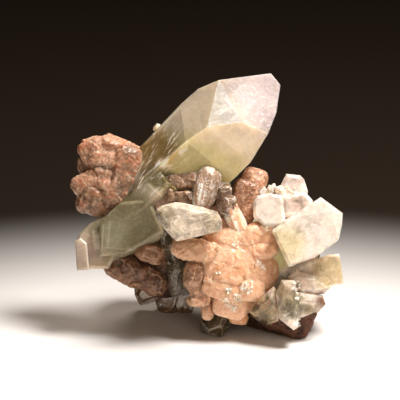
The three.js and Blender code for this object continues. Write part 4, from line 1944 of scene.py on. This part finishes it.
@dataclass
class Softbox:
    """A square lamp.

    Attributes:
        name: its name.
        place: where it hangs, in metres.
        size: its side, in metres.
        power: its power, in watts.
        colour: its colour.
    """

    name: str
    place: Point
    size: float
    power: float
    colour: Colour

    def build(self, aim: Vector) -> None:
        """Hangs the lamp.

        Args:
            aim: the point that it shines at, in metres.
        """
        lamp = bpy.data.lights.new(self.name, "AREA")
        lamp.shape = "SQUARE"
        lamp.size = self.size
        lamp.energy = self.power
        lamp.color = self.colour
        made = bpy.data.objects.new(self.name, lamp)
        made.location = self.place
        made.rotation_euler = (aim - Vector(self.place)).to_track_quat("-Z", "Y").to_euler()
        made.visible_camera = False
        bpy.context.scene.collection.objects.link(made)


@dataclass
class Studio:
    """The floor, the dark around it, the lamps and the camera.

    Attributes:
        target: the point that the camera looks at, in metres.
        elevation: how far it looks down, in degrees.
        distance: how far away it is, in metres.
        lens: its focal length, in millimetres.
        clip: the nearest and the farthest that it sees, in metres.
        floor_radius: the radius of the floor, in metres.
        floor_sides: how many sides the round floor has.
        floor: the floor's finish.
        dark: the colour of the surroundings.
        lamps: the lamps.
    """

    target: Point = (-0.001817, -0.00659, 0.04528)
    elevation: float = 14.0
    distance: float = 0.7
    lens: float = 189.0
    clip: tuple[float, float] = (0.01, 20.0)
    floor_radius: float = 4.0
    floor_sides: int = 96
    floor: FadingFloor = FadingFloor()
    dark: Colour = DARK
    lamps: tuple[Softbox, ...] = (
        Softbox("key", (0.27, -0.14, 0.64), 0.24, 8.3, (1.0, 0.975, 0.95)),
        Softbox("top_back", (0.10, 0.35, 0.62), 0.35, 1.6, (1.0, 0.88, 0.77)),
        Softbox("front_fill", (0.05, -0.85, 0.35), 0.5, 1.6, (1.0, 0.86, 0.70)),
    )

    def build(self) -> None:
        """Builds the whole studio."""
        self.lay_floor()
        self.set_world()
        for lamp in self.lamps:
            lamp.build(Vector(self.target))
        self.place_camera()
        bpy.context.scene.view_settings.view_transform = "Standard"

    def lay_floor(self) -> None:
        """Lays the round floor."""
        mesh = bmesh.new()
        bmesh.ops.create_circle(mesh, cap_ends=True, segments=self.floor_sides, radius=self.floor_radius)
        ground = to_object(mesh, "pale_floor")
        ground.data.materials.append(self.floor.build())

    def set_world(self) -> None:
        """Fills the surroundings with one dark colour."""
        world = bpy.data.worlds.new("dark_room")
        world.use_nodes = True
        world.node_tree.nodes["Background"].inputs["Color"].default_value = linear(self.dark)
        bpy.context.scene.world = world

    def place_camera(self) -> None:
        """Places the camera and makes it the scene's own."""
        lens = bpy.data.cameras.new("camera")
        lens.lens = self.lens
        lens.clip_start, lens.clip_end = self.clip
        camera = bpy.data.objects.new("camera", lens)
        tilt = math.radians(self.elevation)
        back = Vector((0.0, -math.cos(tilt), math.sin(tilt)))
        camera.location = Vector(self.target) + back * self.distance
        camera.rotation_euler = (-back).to_track_quat("-Z", "Y").to_euler()
        bpy.context.scene.collection.objects.link(camera)
        bpy.context.scene.camera = camera


def main() -> None:
    """Builds the cluster and its studio."""
    logging.basicConfig(level=logging.INFO, format="%(name)s: %(message)s")
    noise.seed_set(NOISE_SEED)
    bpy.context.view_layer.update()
    Studio().build()
    for group in (LARGE, FRONT_CRYSTAL, RIGHT, LOW, FOOT, HOLLOW, GLASSY, BACK):
        group.build()
    for mass in (
        LEFT_BALL,
        CENTRAL_MASS,
        TALL_COLUMN,
        BRIGHT_BLADES,
        KNOB,
        ROOT_BLADES,
        LOWER_BLADES,
        UNDER_BLADES,
        BACK_BALLS,
    ):
        mass.build()
    Rock().build()
    CENTRAL_DRUSE.build()
    RIGHT_DRUSE.build()


if __name__ == "__main__":
    main()
